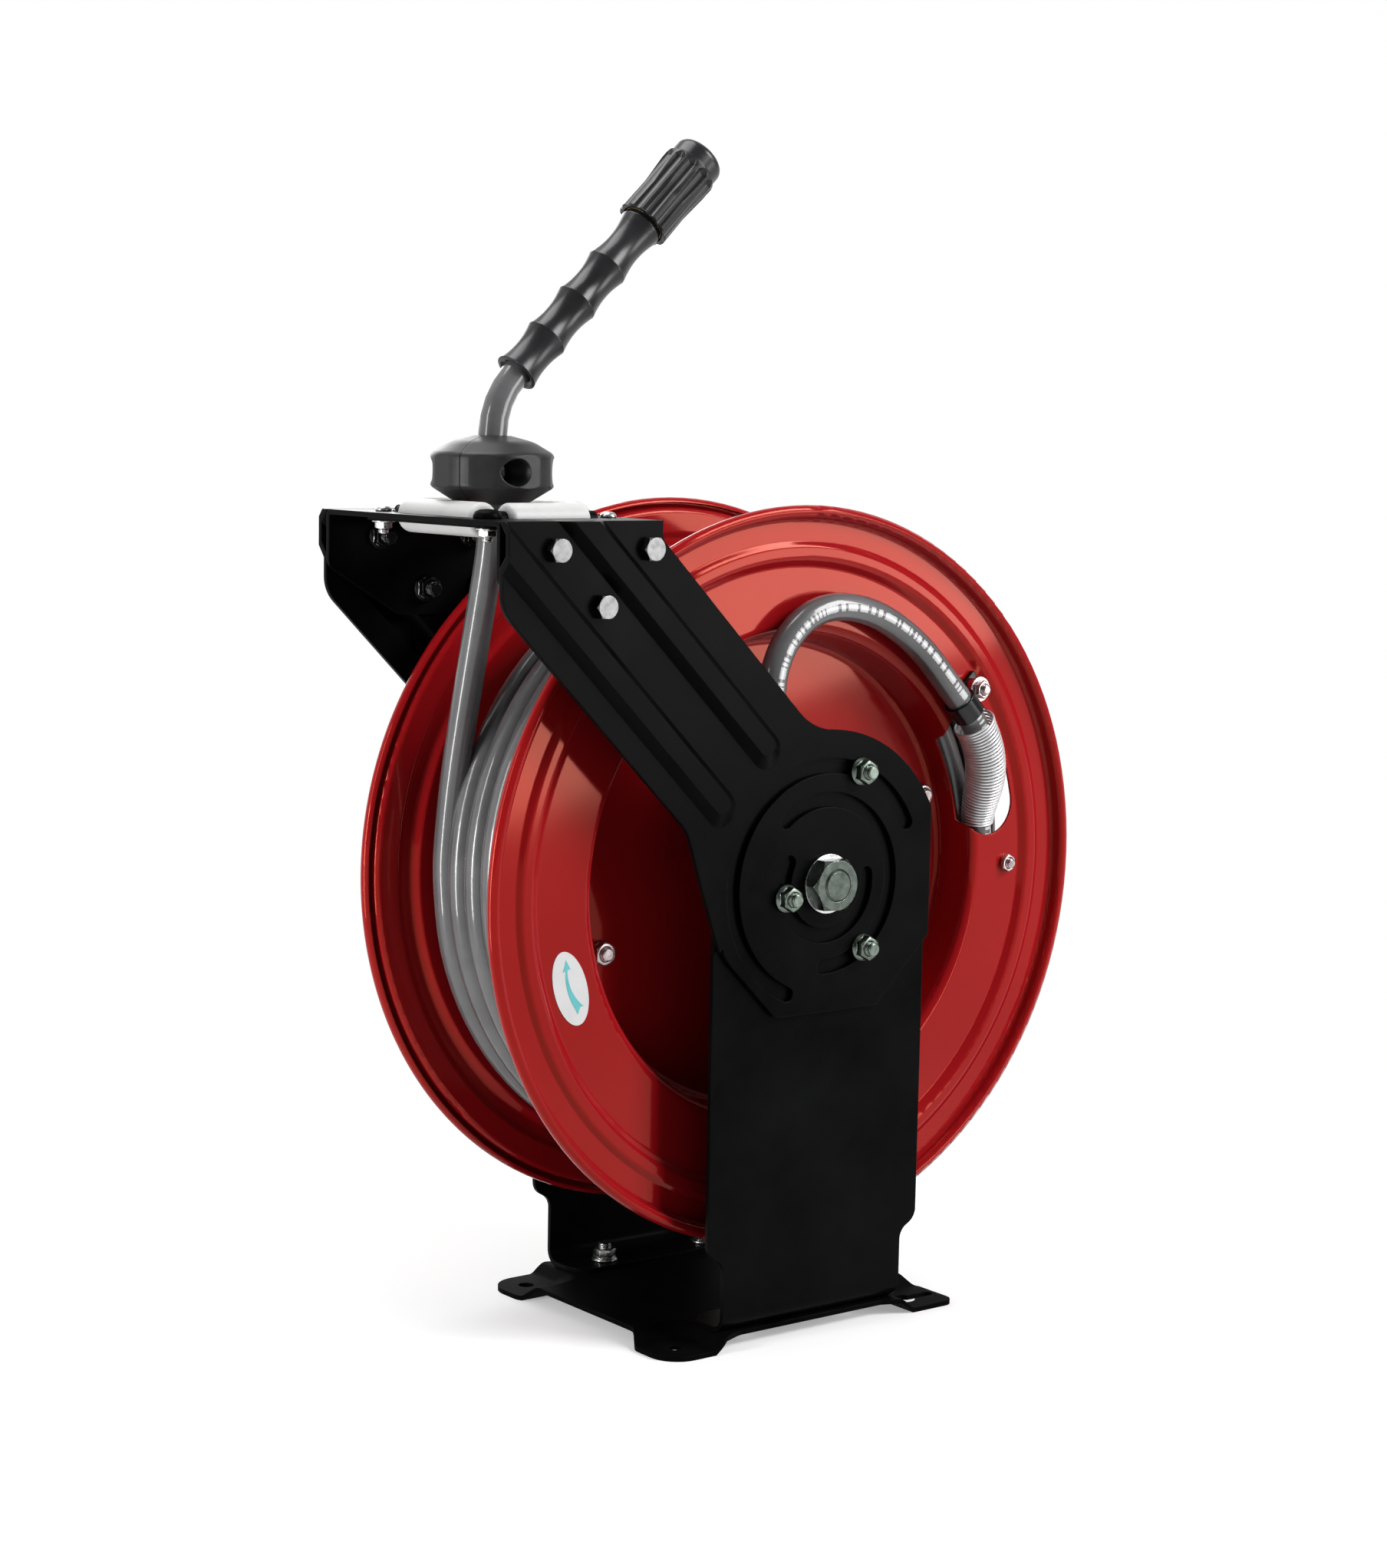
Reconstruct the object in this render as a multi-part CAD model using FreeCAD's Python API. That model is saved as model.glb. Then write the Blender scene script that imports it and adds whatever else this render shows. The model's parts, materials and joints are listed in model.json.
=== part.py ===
import FreeCAD, Part
import math
import os

# Spring-rewind hose reel on two pedestals, in millimetres.
# +X right, +Y to the back, +Z up. Origin on the floor, straight below the axle.
# "s" is a distance outwards from the drum's middle plane, along either side of the axle.

# Axle and shaft
AXLE_Z = 278.0
SHAFT_R = 10.0
SHAFT_BORE_R = 4.5
SHAFT_FRONT_Y = -107.5
SHAFT_REAR_Y = 112.0
RUN_FIT = 0.05
SIDE_GAP = 0.3

# Sheet metal stand
SHEET = 3.0
DECK_HALF_X = 105.0
DECK_HALF_Y = 91.0
DECK_TOP = 10.0
EAR_X = 113.0
EAR_Y = 97.5
EAR_SLOPE = 8.5
EAR_BEND_R = 6.0
HOLE_X = 95.0
HOLE_Y = 78.5
HOLE_R = 5.0
KEY_BIG_X = 86.0
KEY_BIG_R = 7.5
KEY_SLOT_X = 106.0
KEY_SLOT_R = 3.6
PEDESTAL_Y = 92.0
PEDESTAL_HALF = 82.0
FOOT_HALF = 69.5
FOOT_INNER_Y = 57.0
FOOT_BEND_R = 10.0
FOOT_BOLT_X = 40.0
FOOT_BOLT_Y = 70.0

# Guide arm, outline measured from the axle
ARM_IN = PEDESTAL_Y + SIDE_GAP
ARM_OUT = ARM_IN + SHEET
ARM_PLATE_R = 92.5
ARM_SLOTS = [(71.0, 24.0, 250.0), (50.7, -96.7, 134.0), (31.8, 145.0, 374.5)]
ARM_SLOT_HALF = 4.6
CLAMP_BOLTS = [(71.0, 69.2), (50.7, -54.7), (31.8, 192.0)]
ARM_BOLTS = [(-200.0, 202.0), (-135.5, 202.0), (-168.0, 170.0)]
RIB_HEIGHT = 6.0
RIB_WIDTH = 22.0
RIB_TAPER = 5.0
RIB_START = 93.0
RIB_OFFSETS = (-22.0, 24.0)

# Roller head
HEAD_X = -178.0
ROLLER_Z = 494.5
ROLLER_R = 10.0
PIN_R = 2.5
SIDE_ROLLER_DX = 33.0
SIDE_ROLLER_HALF = 39.0
END_ROLLER_DY = 50.0
END_ROLLER_HALF = 27.0
BRACKET_TOP = 496.0
BRACKET_X0 = -236.0
BRACKET_X1 = -127.0
POST_DX = 41.5
POST_DY = 55.0
SIDE_WINDOW_HALF = 40.8
END_WINDOW_HALF = 27.3
KNUCKLE_R = 5.5
KNUCKLE_LENGTH = 7.0
KEEPER = 2.0
ROLLER_ROUND = 3.0

# Drum
DISC_SHEET = 1.5
RIM_R = 225.25
RIM_S = 68.2
FLAT_S = 61.75
CUP_S = 35.0
CORE_R = 153.5
TIE_R = 130.5
TIE_ANGLE = 17.7
HUB_FLANGE_R = 40.0
HUB_BOSS_R = 20.0
BUSH_R = 13.0
CASE_R = 118.0
CASE_S = 70.0
RATCHET_R = 62.0
RATCHET_DEPTH = 7.0
RATCHET_TEETH = 8
TOOTH_START = 26.5
TOOTH_SPAN = 12.0

# Hose
HOSE_R = 8.5
WIND_R = 181.5
WIND_PITCH = 17.6
WIND_TURNS = 5.25
EXIT_Y = 43.0
STOP_X = -180.0
STOP_LOW = 502.0
STOP_R = 36.0
STOP_BOLT_DX = 20.0
STOP_GRIP = 14.0
STOP_TURN = 25.3
END_BEND_Z = 562.0
END_BEND_T = 20.0
GRIP_R = 13.3
GRIP_WAIST_R = 9.6
GRIP_RIMS = (2.0, 31.0, 61.0, 91.0, 126.0)
CAP_LOW = 128.4
CAP_TOP = 189.0
CAP_R = 17.6
CAP_FLUTES = 12
CAP_FLUTE_R = 4.2
CAP_FLUTE_DEEP = 15.2

PARTS = {}


def vec(x, y, z):
    return FreeCAD.Vector(x, y, z)


X_AXIS = vec(1, 0, 0)
Y_AXIS = vec(0, 1, 0)
Z_AXIS = vec(0, 0, 1)


def box(x0, x1, y0, y1, z0, z1):
    return Part.makeBox(x1 - x0, y1 - y0, z1 - z0, vec(x0, y0, z0))


def cyl(base, axis, radius, length):
    return Part.makeCylinder(radius, length, base, axis)


def rod_y(x, z, radius, y0, y1):
    return cyl(vec(x, y0, z), Y_AXIS, radius, y1 - y0)


def fuse(shapes):
    whole = shapes[0]
    for other in shapes[1:]:
        whole = whole.fuse(other)
    return whole.removeSplitter()


def mirror_y(shape):
    return shape.mirror(vec(0, 0, 0), Y_AXIS)


def polar(radius, degrees):
    """Point on the front view at a radius and angle from the axle, as (x, z)."""
    a = math.radians(degrees)
    return radius * math.cos(a), AXLE_Z + radius * math.sin(a)


def hexagon(base, axis, across, length):
    """Hexagonal prism with its corners bevelled at the far end."""
    axis = FreeCAD.Vector(axis).normalize()
    side = axis.cross(Z_AXIS)
    if side.Length < 0.01:
        side = X_AXIS
    side = FreeCAD.Vector(side).normalize()
    up = axis.cross(side)
    r = across / math.sqrt(3.0)
    pts = []
    for k in range(7):
        a = math.radians(60.0 * k)
        pts.append(base + side * (r * math.cos(a)) + up * (r * math.sin(a)))
    return Part.Face(Part.makePolygon(pts)).extrude(axis * length)


def nut(base, axis, across, length, bore_r, flange_r=0.0, flange=1.6):
    """Hexagon nut standing on base, with its bore and an optional flange."""
    axis = FreeCAD.Vector(axis).normalize()
    bevel = Part.makeCone(across * 0.5 + length, across * 0.5 - 0.4, length + 0.4, base, axis)
    body = hexagon(base, axis, across, length).common(bevel)
    if flange_r:
        body = body.fuse(cyl(base, axis, flange_r, flange))
    return body.cut(cyl(base - axis, axis, bore_r, length + 2.0))


def hex_bolt(base, axis, across, head, shank_r, length):
    """Hexagon bolt: the head stands on base along the axis, the shank runs the other way."""
    axis = FreeCAD.Vector(axis).normalize()
    bevel = Part.makeCone(across * 0.5 + head, across * 0.5 - 0.4, head + 0.4, base, axis)
    body = hexagon(base, axis, across, head).common(bevel)
    return body.fuse(cyl(base - axis * length, axis, shank_r, length + 1.0))


def ring(base, axis, outer_r, inner_r, length):
    return cyl(base, axis, outer_r, length).cut(cyl(base, axis, inner_r, length))


def rounded_edges(points, radii, closed):
    """Straight runs joined by tangent arcs, through points with a radius at each."""
    count = len(points)
    starts = [None] * count
    ends = [None] * count
    arcs = [None] * count
    for i in range(count):
        here = points[i]
        radius = radii[i]
        inner = closed or 0 < i < count - 1
        if not radius or not inner:
            starts[i] = here
            ends[i] = here
            continue
        back = (points[i - 1] - here).normalize()
        ahead = (points[(i + 1) % count] - here).normalize()
        half = back.getAngle(ahead) * 0.5
        reach = radius / math.tan(half)
        middle = (back + ahead).normalize()
        starts[i] = here + back * reach
        ends[i] = here + ahead * reach
        crown = here + middle * (radius / math.sin(half) - radius)
        arcs[i] = Part.Arc(starts[i], crown, ends[i]).toShape()
    edges = []
    for i in range(count):
        if arcs[i]:
            edges.append(arcs[i])
        if i < count - 1 or closed:
            target = starts[(i + 1) % count]
            if (target - ends[i]).Length > 1e-6:
                edges.append(Part.LineSegment(ends[i], target).toShape())
    return edges


def outline_xz(points, y0, y1):
    """Plate in the XZ plane from (x, z, radius) points, between two y values."""
    pts = [vec(p[0], y0, p[1]) for p in points]
    radii = [p[2] if len(p) > 2 else 0.0 for p in points]
    wire = Part.Wire(rounded_edges(pts, radii, True))
    return Part.Face(wire).extrude(vec(0, y1 - y0, 0))


def outline_xy(points, z0, z1):
    """Plate in the XY plane from (x, y, radius) points, between two heights."""
    pts = [vec(p[0], p[1], z0) for p in points]
    radii = [p[2] if len(p) > 2 else 0.0 for p in points]
    wire = Part.Wire(rounded_edges(pts, radii, True))
    return Part.Face(wire).extrude(vec(0, 0, z1 - z0))


def outline_yz(points, x0, x1):
    """Section in the YZ plane from (y, z, radius) points, between two x values."""
    pts = [vec(x0, p[0], p[1]) for p in points]
    radii = [p[2] if len(p) > 2 else 0.0 for p in points]
    wire = Part.Wire(rounded_edges(pts, radii, True))
    return Part.Face(wire).extrude(vec(x1 - x0, 0, 0))


def turned(profile, base, axis):
    """Revolve (radius, distance, corner radius) points about an axis through base."""
    axis = FreeCAD.Vector(axis).normalize()
    side = axis.cross(Y_AXIS)
    if side.Length < 0.01:
        side = X_AXIS
    side = FreeCAD.Vector(side).normalize()
    pts = [base + side * p[0] + axis * p[1] for p in profile]
    radii = [p[2] if len(p) > 2 else 0.0 for p in profile]
    face = Part.Face(Part.Wire(rounded_edges(pts, radii, True)))
    return face.revolve(base, axis, 360)


def biarc(p0, t0, p1, t1):
    """Two arcs that leave p0 along t0 and reach p1 along t1."""
    gap = p1 - p0
    both = t0 + t1
    a = 2.0 * (1.0 - t0.dot(t1))
    b = 2.0 * gap.dot(both)
    c = -gap.dot(gap)
    if abs(a) < 1e-9:
        reach = -c / b
    else:
        reach = (-b + math.sqrt(b * b - 4.0 * a * c)) / (2.0 * a)
    joint = (p0 + p1 + (t0 - t1) * reach) * 0.5
    edges = []
    for start, tangent, end in ((p0, t0, joint), (p1, t1 * -1.0, joint)):
        chord = end - start
        normal = chord - tangent * chord.dot(tangent)
        radius = chord.dot(chord) / (2.0 * normal.Length)
        centre = start + FreeCAD.Vector(normal).normalize() * radius
        middle = (start + end) * 0.5 - centre
        crown = centre + FreeCAD.Vector(middle).normalize() * radius
        edges.append(Part.Arc(start, crown, end).toShape())
    return edges


def tube(edges, radius, start, direction):
    """Solid round bar swept along joined edges."""
    wire = Part.Wire(edges)
    circle = Part.Wire(Part.Circle(start, direction, radius).toShape())
    sweep = Part.BRepOffsetAPI.MakePipeShell(wire)
    sweep.add(circle)
    sweep.build()
    sweep.makeSolid()
    return sweep.shape()


def add(name, shape):
    PARTS[name] = shape


def both_sides(front):
    """The same piece at the front and mirrored to the back, as one group."""
    return Part.makeCompound([front, mirror_y(front)])


# Base plate: raised deck on four pressed ears


def base_outline(z0, z1):
    """Deck with an ear at each corner: round lobes at the left, squarer ones at the right."""
    points = []
    for sx, sy in ((-1, -1), (1, -1), (1, 1), (-1, 1)):
        soft = 14.0 if sx < 0 else 7.0
        tip = 19.0 if sx < 0 else 8.0
        ear = [(sx * DECK_HALF_X, sy * 50, soft), (sx * EAR_X, sy * 63, soft * 0.8),
               (sx * EAR_X, sy * EAR_Y, tip), (sx * 72, sy * EAR_Y, soft * 0.8),
               (sx * 56, sy * DECK_HALF_Y, soft)]
        if sx * sy < 0:
            ear.reverse()
        points += ear
    return outline_xy(points, z0, z1)


def corner_slope(grow, z0, z1):
    """Slanted blocks over the four corners, wider as they rise, with a rounded inner corner."""
    blocks = []
    rise = DECK_TOP - SHEET
    for sx in (-1, 1):
        for sy in (-1, 1):
            wires = []
            for z in (z0, z1):
                step = EAR_SLOPE * (z - grow) / rise
                x, y = 78.0 - step, 60.0 - step
                pts = [vec(sx * x, sy * y, z), vec(sx * x, sy * 130, z), vec(sx * 140, sy * 130, z),
                       vec(sx * 140, sy * y, z)]
                wires.append(Part.Wire(rounded_edges(pts, [16.0, 0, 0, 0], True)))
            blocks.append(Part.makeLoft(wires, True, True))
    return Part.makeCompound(blocks)


def soften(shape, heights, radius):
    """Round the edges that lie flat at one of the heights, inside the deck's outline."""
    edges = []
    for edge in shape.Edges:
        level = edge.BoundBox
        middle = edge.valueAt((edge.FirstParameter + edge.LastParameter) * 0.5)
        inside = abs(middle.x) < DECK_HALF_X - 4 and abs(middle.y) < DECK_HALF_Y - 3.2
        if inside and level.ZLength < 0.01 and min(abs(level.ZMin - h) for h in heights) < 0.01:
            edges.append(edge)
    return shape.makeFillet(radius, edges)


def base_plate():
    under = DECK_TOP - SHEET
    hollow = box(-130, 130, -120, 120, -1, under)
    hollow = hollow.cut(corner_slope(0.0, -2.0, under + 1))
    plate = base_outline(0, DECK_TOP).cut(corner_slope(SHEET, SHEET, DECK_TOP + 1))
    plate = plate.cut(hollow)
    plate = soften(plate, (DECK_TOP, SHEET), EAR_BEND_R)
    for sy in (-1, 1):
        y = sy * HOLE_Y
        plate = plate.cut(cyl(vec(-HOLE_X, y, -1), Z_AXIS, HOLE_R, 20))
        plate = plate.cut(cyl(vec(KEY_BIG_X, y, -1), Z_AXIS, KEY_BIG_R, 20))
        plate = plate.cut(cyl(vec(KEY_SLOT_X, y, -1), Z_AXIS, KEY_SLOT_R, 20))
        plate = plate.cut(box(KEY_BIG_X, KEY_SLOT_X, y - KEY_SLOT_R, y + KEY_SLOT_R, -1, 20))
    for x in (-FOOT_BOLT_X, FOOT_BOLT_X):
        for y in (-FOOT_BOLT_Y, FOOT_BOLT_Y):
            plate = plate.cut(cyl(vec(x, y, 0), Z_AXIS, 4.3, 20))
    return plate.removeSplitter()


def front_pedestal():
    inner = PEDESTAL_Y - SHEET
    bend = FOOT_BEND_R
    section = outline_yz([(-PEDESTAL_Y, 380), (-PEDESTAL_Y, DECK_TOP, bend), (-FOOT_INNER_Y, DECK_TOP),
                          (-FOOT_INNER_Y, DECK_TOP + SHEET), (-inner, DECK_TOP + SHEET, bend - SHEET),
                          (-inner, 380)], -PEDESTAL_HALF, PEDESTAL_HALF)
    face = outline_xz([(-PEDESTAL_HALF, AXLE_Z), (-PEDESTAL_HALF, 60, 10), (-FOOT_HALF, 53, 10),
                       (-FOOT_HALF, 0), (FOOT_HALF, 0), (FOOT_HALF, 53, 10), (PEDESTAL_HALF, 60, 10),
                       (PEDESTAL_HALF, AXLE_Z)], -PEDESTAL_Y - 5, 0)
    head = rod_y(0, AXLE_Z, PEDESTAL_HALF, -PEDESTAL_Y - 5, 0)
    plan = outline_xy([(-FOOT_HALF, -120), (FOOT_HALF, -120), (FOOT_HALF, -FOOT_INNER_Y, 14),
                       (-FOOT_HALF, -FOOT_INNER_Y, 14)], 0, 30)
    upper = box(-PEDESTAL_HALF, PEDESTAL_HALF, -120, 0, 30, 400)
    sheet = section.common(face.fuse(head)).common(plan.fuse(upper))
    sheet = sheet.cut(rod_y(0, AXLE_Z, SHAFT_R + RUN_FIT, -120, 0))
    for radius, angle in CLAMP_BOLTS:
        x, z = polar(radius, angle)
        sheet = sheet.cut(rod_y(x, z, 4.3, -120, 0))
    for x in (-FOOT_BOLT_X, FOOT_BOLT_X):
        sheet = sheet.cut(cyl(vec(x, -FOOT_BOLT_Y, 0), Z_AXIS, 4.3, 40))
    return sheet.removeSplitter()


def stand():
    add("base_plate", base_plate())
    pedestal = front_pedestal()
    add("front_pedestal", pedestal)
    add("rear_pedestal", mirror_y(pedestal))
    bolts = []
    nuts = []
    under = DECK_TOP - SHEET
    for x in (-FOOT_BOLT_X, FOOT_BOLT_X):
        for y in (-FOOT_BOLT_Y, FOOT_BOLT_Y):
            head = turned([(0, 2.2), (5.0, 2.2), (8.5, 5.2), (8.5, under), (0, under)], vec(x, y, 0), Z_AXIS)
            bolts.append(head.fuse(cyl(vec(x, y, under - 0.5), Z_AXIS, 4.0, 17.5)))
            nuts.append(nut(vec(x, y, DECK_TOP + SHEET), Z_AXIS, 13, 8, 4.0, 8.5))
    add("foot_bolts", Part.makeCompound(bolts))
    add("foot_nuts", Part.makeCompound(nuts))
    main_shaft()
    clamp_fasteners()


def main_shaft():
    shaft = turned([(0, SHAFT_FRONT_Y), (SHAFT_R - 1.5, SHAFT_FRONT_Y), (SHAFT_R, SHAFT_FRONT_Y + 1.5),
                    (SHAFT_R, SHAFT_REAR_Y), (0, SHAFT_REAR_Y)], vec(0, 0, AXLE_Z), Y_AXIS)
    # The waterway runs from the rear end to the swivel's cross hole.
    shaft = shaft.cut(rod_y(0, AXLE_Z, SHAFT_BORE_R, -74, SHAFT_REAR_Y + 1))
    shaft = shaft.cut(rod_y(0, AXLE_Z, 8.0, SHAFT_REAR_Y - 14, SHAFT_REAR_Y + 1))
    shaft = shaft.cut(cyl(vec(0, -74, AXLE_Z - 15), Z_AXIS, 3.5, 30))
    add("main_shaft", shaft)
    washer = ring(vec(0, -ARM_OUT - SIDE_GAP - 2.2, AXLE_Z), Y_AXIS, 18.0, SHAFT_R, 2.2)
    hexnut = nut(vec(0, -ARM_OUT - SIDE_GAP - 2.2, AXLE_Z), Y_AXIS * -1.0, 30, 8.6, SHAFT_R)
    add("shaft_washers", both_sides(washer))
    add("shaft_nuts", both_sides(hexnut))
    # Inlet nipple screwed into the rear end of the shaft
    nipple = turned([(4.5, 98.5), (8.0, 98.5), (8.0, 112), (13.0, 112), (13.0, 120), (8.3, 120),
                     (8.3, 134), (7.3, 135), (4.5, 135)], vec(0, 0, AXLE_Z), Y_AXIS)
    flats = hexagon(vec(0, 90, AXLE_Z), Y_AXIS, 22, 60)
    add("inlet_nipple", nipple.common(flats))


def clamp_fasteners():
    bolts = []
    nuts = []
    inner = PEDESTAL_Y - SHEET
    for radius, angle in CLAMP_BOLTS:
        x, z = polar(radius, angle)
        head = turned([(0, 0), (8.0, 0), (8.0, 1.2), (4.5, 3.6), (0, 3.6)], vec(x, -inner, z), Y_AXIS)
        bolts.append(head.fuse(rod_y(x, z, 4.0, -107.0, -inner + 0.5)))
        nuts.append(nut(vec(x, -ARM_OUT - SIDE_GAP, z), Y_AXIS * -1.0, 13, 8, 4.0, 8.5))
    add("clamp_bolts", both_sides(Part.makeCompound(bolts)))
    add("clamp_nuts", both_sides(Part.makeCompound(nuts)))


# Guide arm: two slotted side plates carrying the roller head


def arc_slot(radius, a0, a1, half, y0, y1):
    """Slot round the axle whose rounded ends lie at the two angles."""
    trim = math.degrees(half / radius)
    start, end = a0 + trim, a1 - trim
    band = ring(vec(0, y0, AXLE_Z), Y_AXIS, radius + half, radius - half, y1 - y0)
    span = end - start
    wedge_pts = [vec(0, y0, AXLE_Z)]
    steps = 6
    for k in range(steps + 1):
        x, z = polar(radius * 3, start + span * k / steps)
        wedge_pts.append(vec(x, y0, z))
    wedge_pts.append(wedge_pts[0])
    wedge = Part.Face(Part.makePolygon(wedge_pts)).extrude(vec(0, y1 - y0, 0))
    ends = []
    for angle in (start, end):
        x, z = polar(radius, angle)
        ends.append(rod_y(x, z, half, y0, y1))
    return fuse([band.common(wedge)] + ends)


def arm_outline(y0, y1):
    z = AXLE_Z
    upper = outline_xz([(-236, z + 218), (-127, z + 218), (-127, z + 207.5, 8), (-12, z + 92.5, 40),
                        (0, z + 92.5), (0, z), (-60, z - 10), (-80, z - 35), (-96, z + 10, 12),
                        (-105, z + 38, 22), (-236, z + 169, 22)], y0, y1)
    disc = rod_y(0, z, ARM_PLATE_R, y0, y1)
    trim = outline_xz([(0, z + 100), (83, z + 100), (83, z - 38, 4), (42, z - 78.5, 4), (-37, z - 78.5, 8),
                       (-80, z - 35, 30), (-80, z + 30), (0, z + 30)], y0, y1)
    return upper.fuse(disc.common(trim)).removeSplitter()


def rib(offset, low, top, bulge, width, y0, y1):
    """Pressed rib along the arm's 135 degree line, tapering as it rises outwards."""
    wires = []
    for grow, y in ((width * 0.5, y0), (width * 0.5 - bulge, y1)):
        along = vec(-1, 0, 1) * (1 / math.sqrt(2.0))
        across = vec(1, 0, 1) * (1 / math.sqrt(2.0))
        centre = vec(0, y, AXLE_Z) + across * offset
        a = centre + along * (low - (grow - width * 0.5))
        b = centre + along * top
        p = [a - across * grow, b - across * grow, b + across * grow, a + across * grow]
        pts = [Part.LineSegment(p[0], p[1]).toShape(), Part.LineSegment(p[1], p[2]).toShape(),
               Part.LineSegment(p[2], p[3]).toShape(),
               Part.Arc(p[3], a - along * grow, p[0]).toShape()]
        wires.append(Part.Wire(pts))
    return Part.makeLoft(wires, True, True)


def front_arm():
    plate = arm_outline(-ARM_OUT, -ARM_IN)
    clip = arm_outline(-ARM_OUT - RIB_HEIGHT - 2, -ARM_IN)
    for offset in RIB_OFFSETS:
        bump = rib(offset, RIB_START, 330.0, RIB_TAPER, RIB_WIDTH, -ARM_OUT, -ARM_OUT - RIB_HEIGHT)
        plate = plate.fuse(bump.common(clip))
    for offset in RIB_OFFSETS:
        hollow = rib(offset, RIB_START, 335.0, RIB_TAPER, RIB_WIDTH - 4, -ARM_IN, -ARM_IN - RIB_HEIGHT)
        plate = plate.cut(hollow)
    for radius, a0, a1 in ARM_SLOTS:
        plate = plate.cut(arc_slot(radius, a0, a1, ARM_SLOT_HALF, -ARM_OUT - 1, -ARM_IN + 1))
    plate = plate.cut(rod_y(0, AXLE_Z, SHAFT_R + RUN_FIT, -120, -80))
    for x, z in ARM_BOLTS:
        plate = plate.cut(rod_y(x, AXLE_Z + z, 4.2, -120, -80))
    return plate.removeSplitter()


def roller_bracket():
    x0, x1 = BRACKET_X0, BRACKET_X1
    low = AXLE_Z + 150.0
    top = BRACKET_TOP
    side = ARM_IN
    section = outline_yz([(-side, low), (-side, top, 4), (side, top, 4), (side, low),
                          (side - SHEET, low), (side - SHEET, top - SHEET, 1),
                          (-side + SHEET, top - SHEET, 1),
                          (-side + SHEET, low)], x0, x1)
    face = outline_xz([(x0, top), (x1, top), (x1, top - 26, 6), (-150, low + 4, 10), (-186, low + 4, 10),
                       (x0, top - 34, 6)], -100, 100)
    bracket = section.common(face)
    # Knuckles pressed up over the ends of the roller pins
    for x, y, axis in knuckle_places():
        length = KNUCKLE_LENGTH
        hood = cyl(vec(x, y, ROLLER_Z) - axis * (length * 0.5), axis, KNUCKLE_R, length)
        bracket = bracket.fuse(hood.common(box(x - 20, x + 20, y - 20, y + 20, top - SHEET, top + 20)))
    bracket = bracket.cut(roller_window(top - SHEET - 1, top + 12))
    for start, axis, length in pin_axes():
        bracket = bracket.cut(cyl(start, axis, PIN_R, length))
    for x, y in post_places():
        bracket = bracket.cut(cyl(vec(x, y, top - 20), Z_AXIS, 3.1, 40))
    for x, z in ARM_BOLTS:
        bracket = bracket.cut(rod_y(x, AXLE_Z + z, 4.2, -120, 120))
    return bracket.removeSplitter()


def pin_axes():
    """Start, direction and length of the four roller pins."""
    z = ROLLER_Z
    side = 46.4
    end = 37.5
    pins = []
    for sx in (-1, 1):
        pins.append((vec(HEAD_X + sx * SIDE_ROLLER_DX, -side, z), Y_AXIS, 2 * side))
    for sy in (-1, 1):
        pins.append((vec(HEAD_X - end, sy * END_ROLLER_DY, z), X_AXIS, 2 * end))
    return pins


def knuckle_places():
    """Middle and direction of the hood over each end of the four pins."""
    places = []
    for a in (-1, 1):
        for b in (-1, 1):
            along_y = SIDE_WINDOW_HALF + KNUCKLE_LENGTH * 0.5
            along_x = END_WINDOW_HALF + KNUCKLE_LENGTH * 0.5
            places.append((HEAD_X + a * SIDE_ROLLER_DX, b * along_y, Y_AXIS))
            places.append((HEAD_X + a * along_x, b * END_ROLLER_DY, X_AXIS))
    return places


def post_places():
    return [(HEAD_X + sx * POST_DX, sy * POST_DY) for sx in (-1, 1) for sy in (-1, 1)]


def roller_window(z0, z1):
    """Cross-shaped opening that the four rollers lie in."""
    side = box(HEAD_X - 44, HEAD_X + 44, -SIDE_WINDOW_HALF, SIDE_WINDOW_HALF, z0, z1)
    return side.fuse(box(HEAD_X - END_WINDOW_HALF, HEAD_X + END_WINDOW_HALF, -61, 61, z0, z1))


def roller_frame():
    """Keeper plate screwed under the bracket, which holds the pins up in their knuckles."""
    top = BRACKET_TOP - SHEET
    frame = outline_xy([(HEAD_X - 50, -66, 9), (HEAD_X + 50, -66, 9), (HEAD_X + 50, 66, 9),
                        (HEAD_X - 50, 66, 9)], top - KEEPER, top)
    frame = frame.cut(roller_window(top - KEEPER - 1, top + 1))
    for start, axis, length in pin_axes():
        frame = frame.cut(cyl(start, axis, PIN_R, length))
    for x, y in post_places():
        frame = frame.cut(cyl(vec(x, y, top - 20), Z_AXIS, 3.1, 40))
    return frame.removeSplitter()


def roller_places():
    """Start, direction and length of the four rollers, grown by their end play."""
    z = ROLLER_Z
    play = 0.5
    places = []
    for sx in (-1, 1):
        start = vec(HEAD_X + sx * SIDE_ROLLER_DX, -SIDE_ROLLER_HALF - play, z)
        places.append((start, Y_AXIS, 2 * (SIDE_ROLLER_HALF + play)))
    for sy in (-1, 1):
        start = vec(HEAD_X - END_ROLLER_HALF - play, sy * END_ROLLER_DY, z)
        places.append((start, X_AXIS, 2 * (END_ROLLER_HALF + play)))
    return places


def roller(start, axis, length):
    return turned([(PIN_R + RUN_FIT, 0), (ROLLER_R, 0, ROLLER_ROUND), (ROLLER_R, length, ROLLER_ROUND),
                   (PIN_R + RUN_FIT, length)], start, axis)


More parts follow.
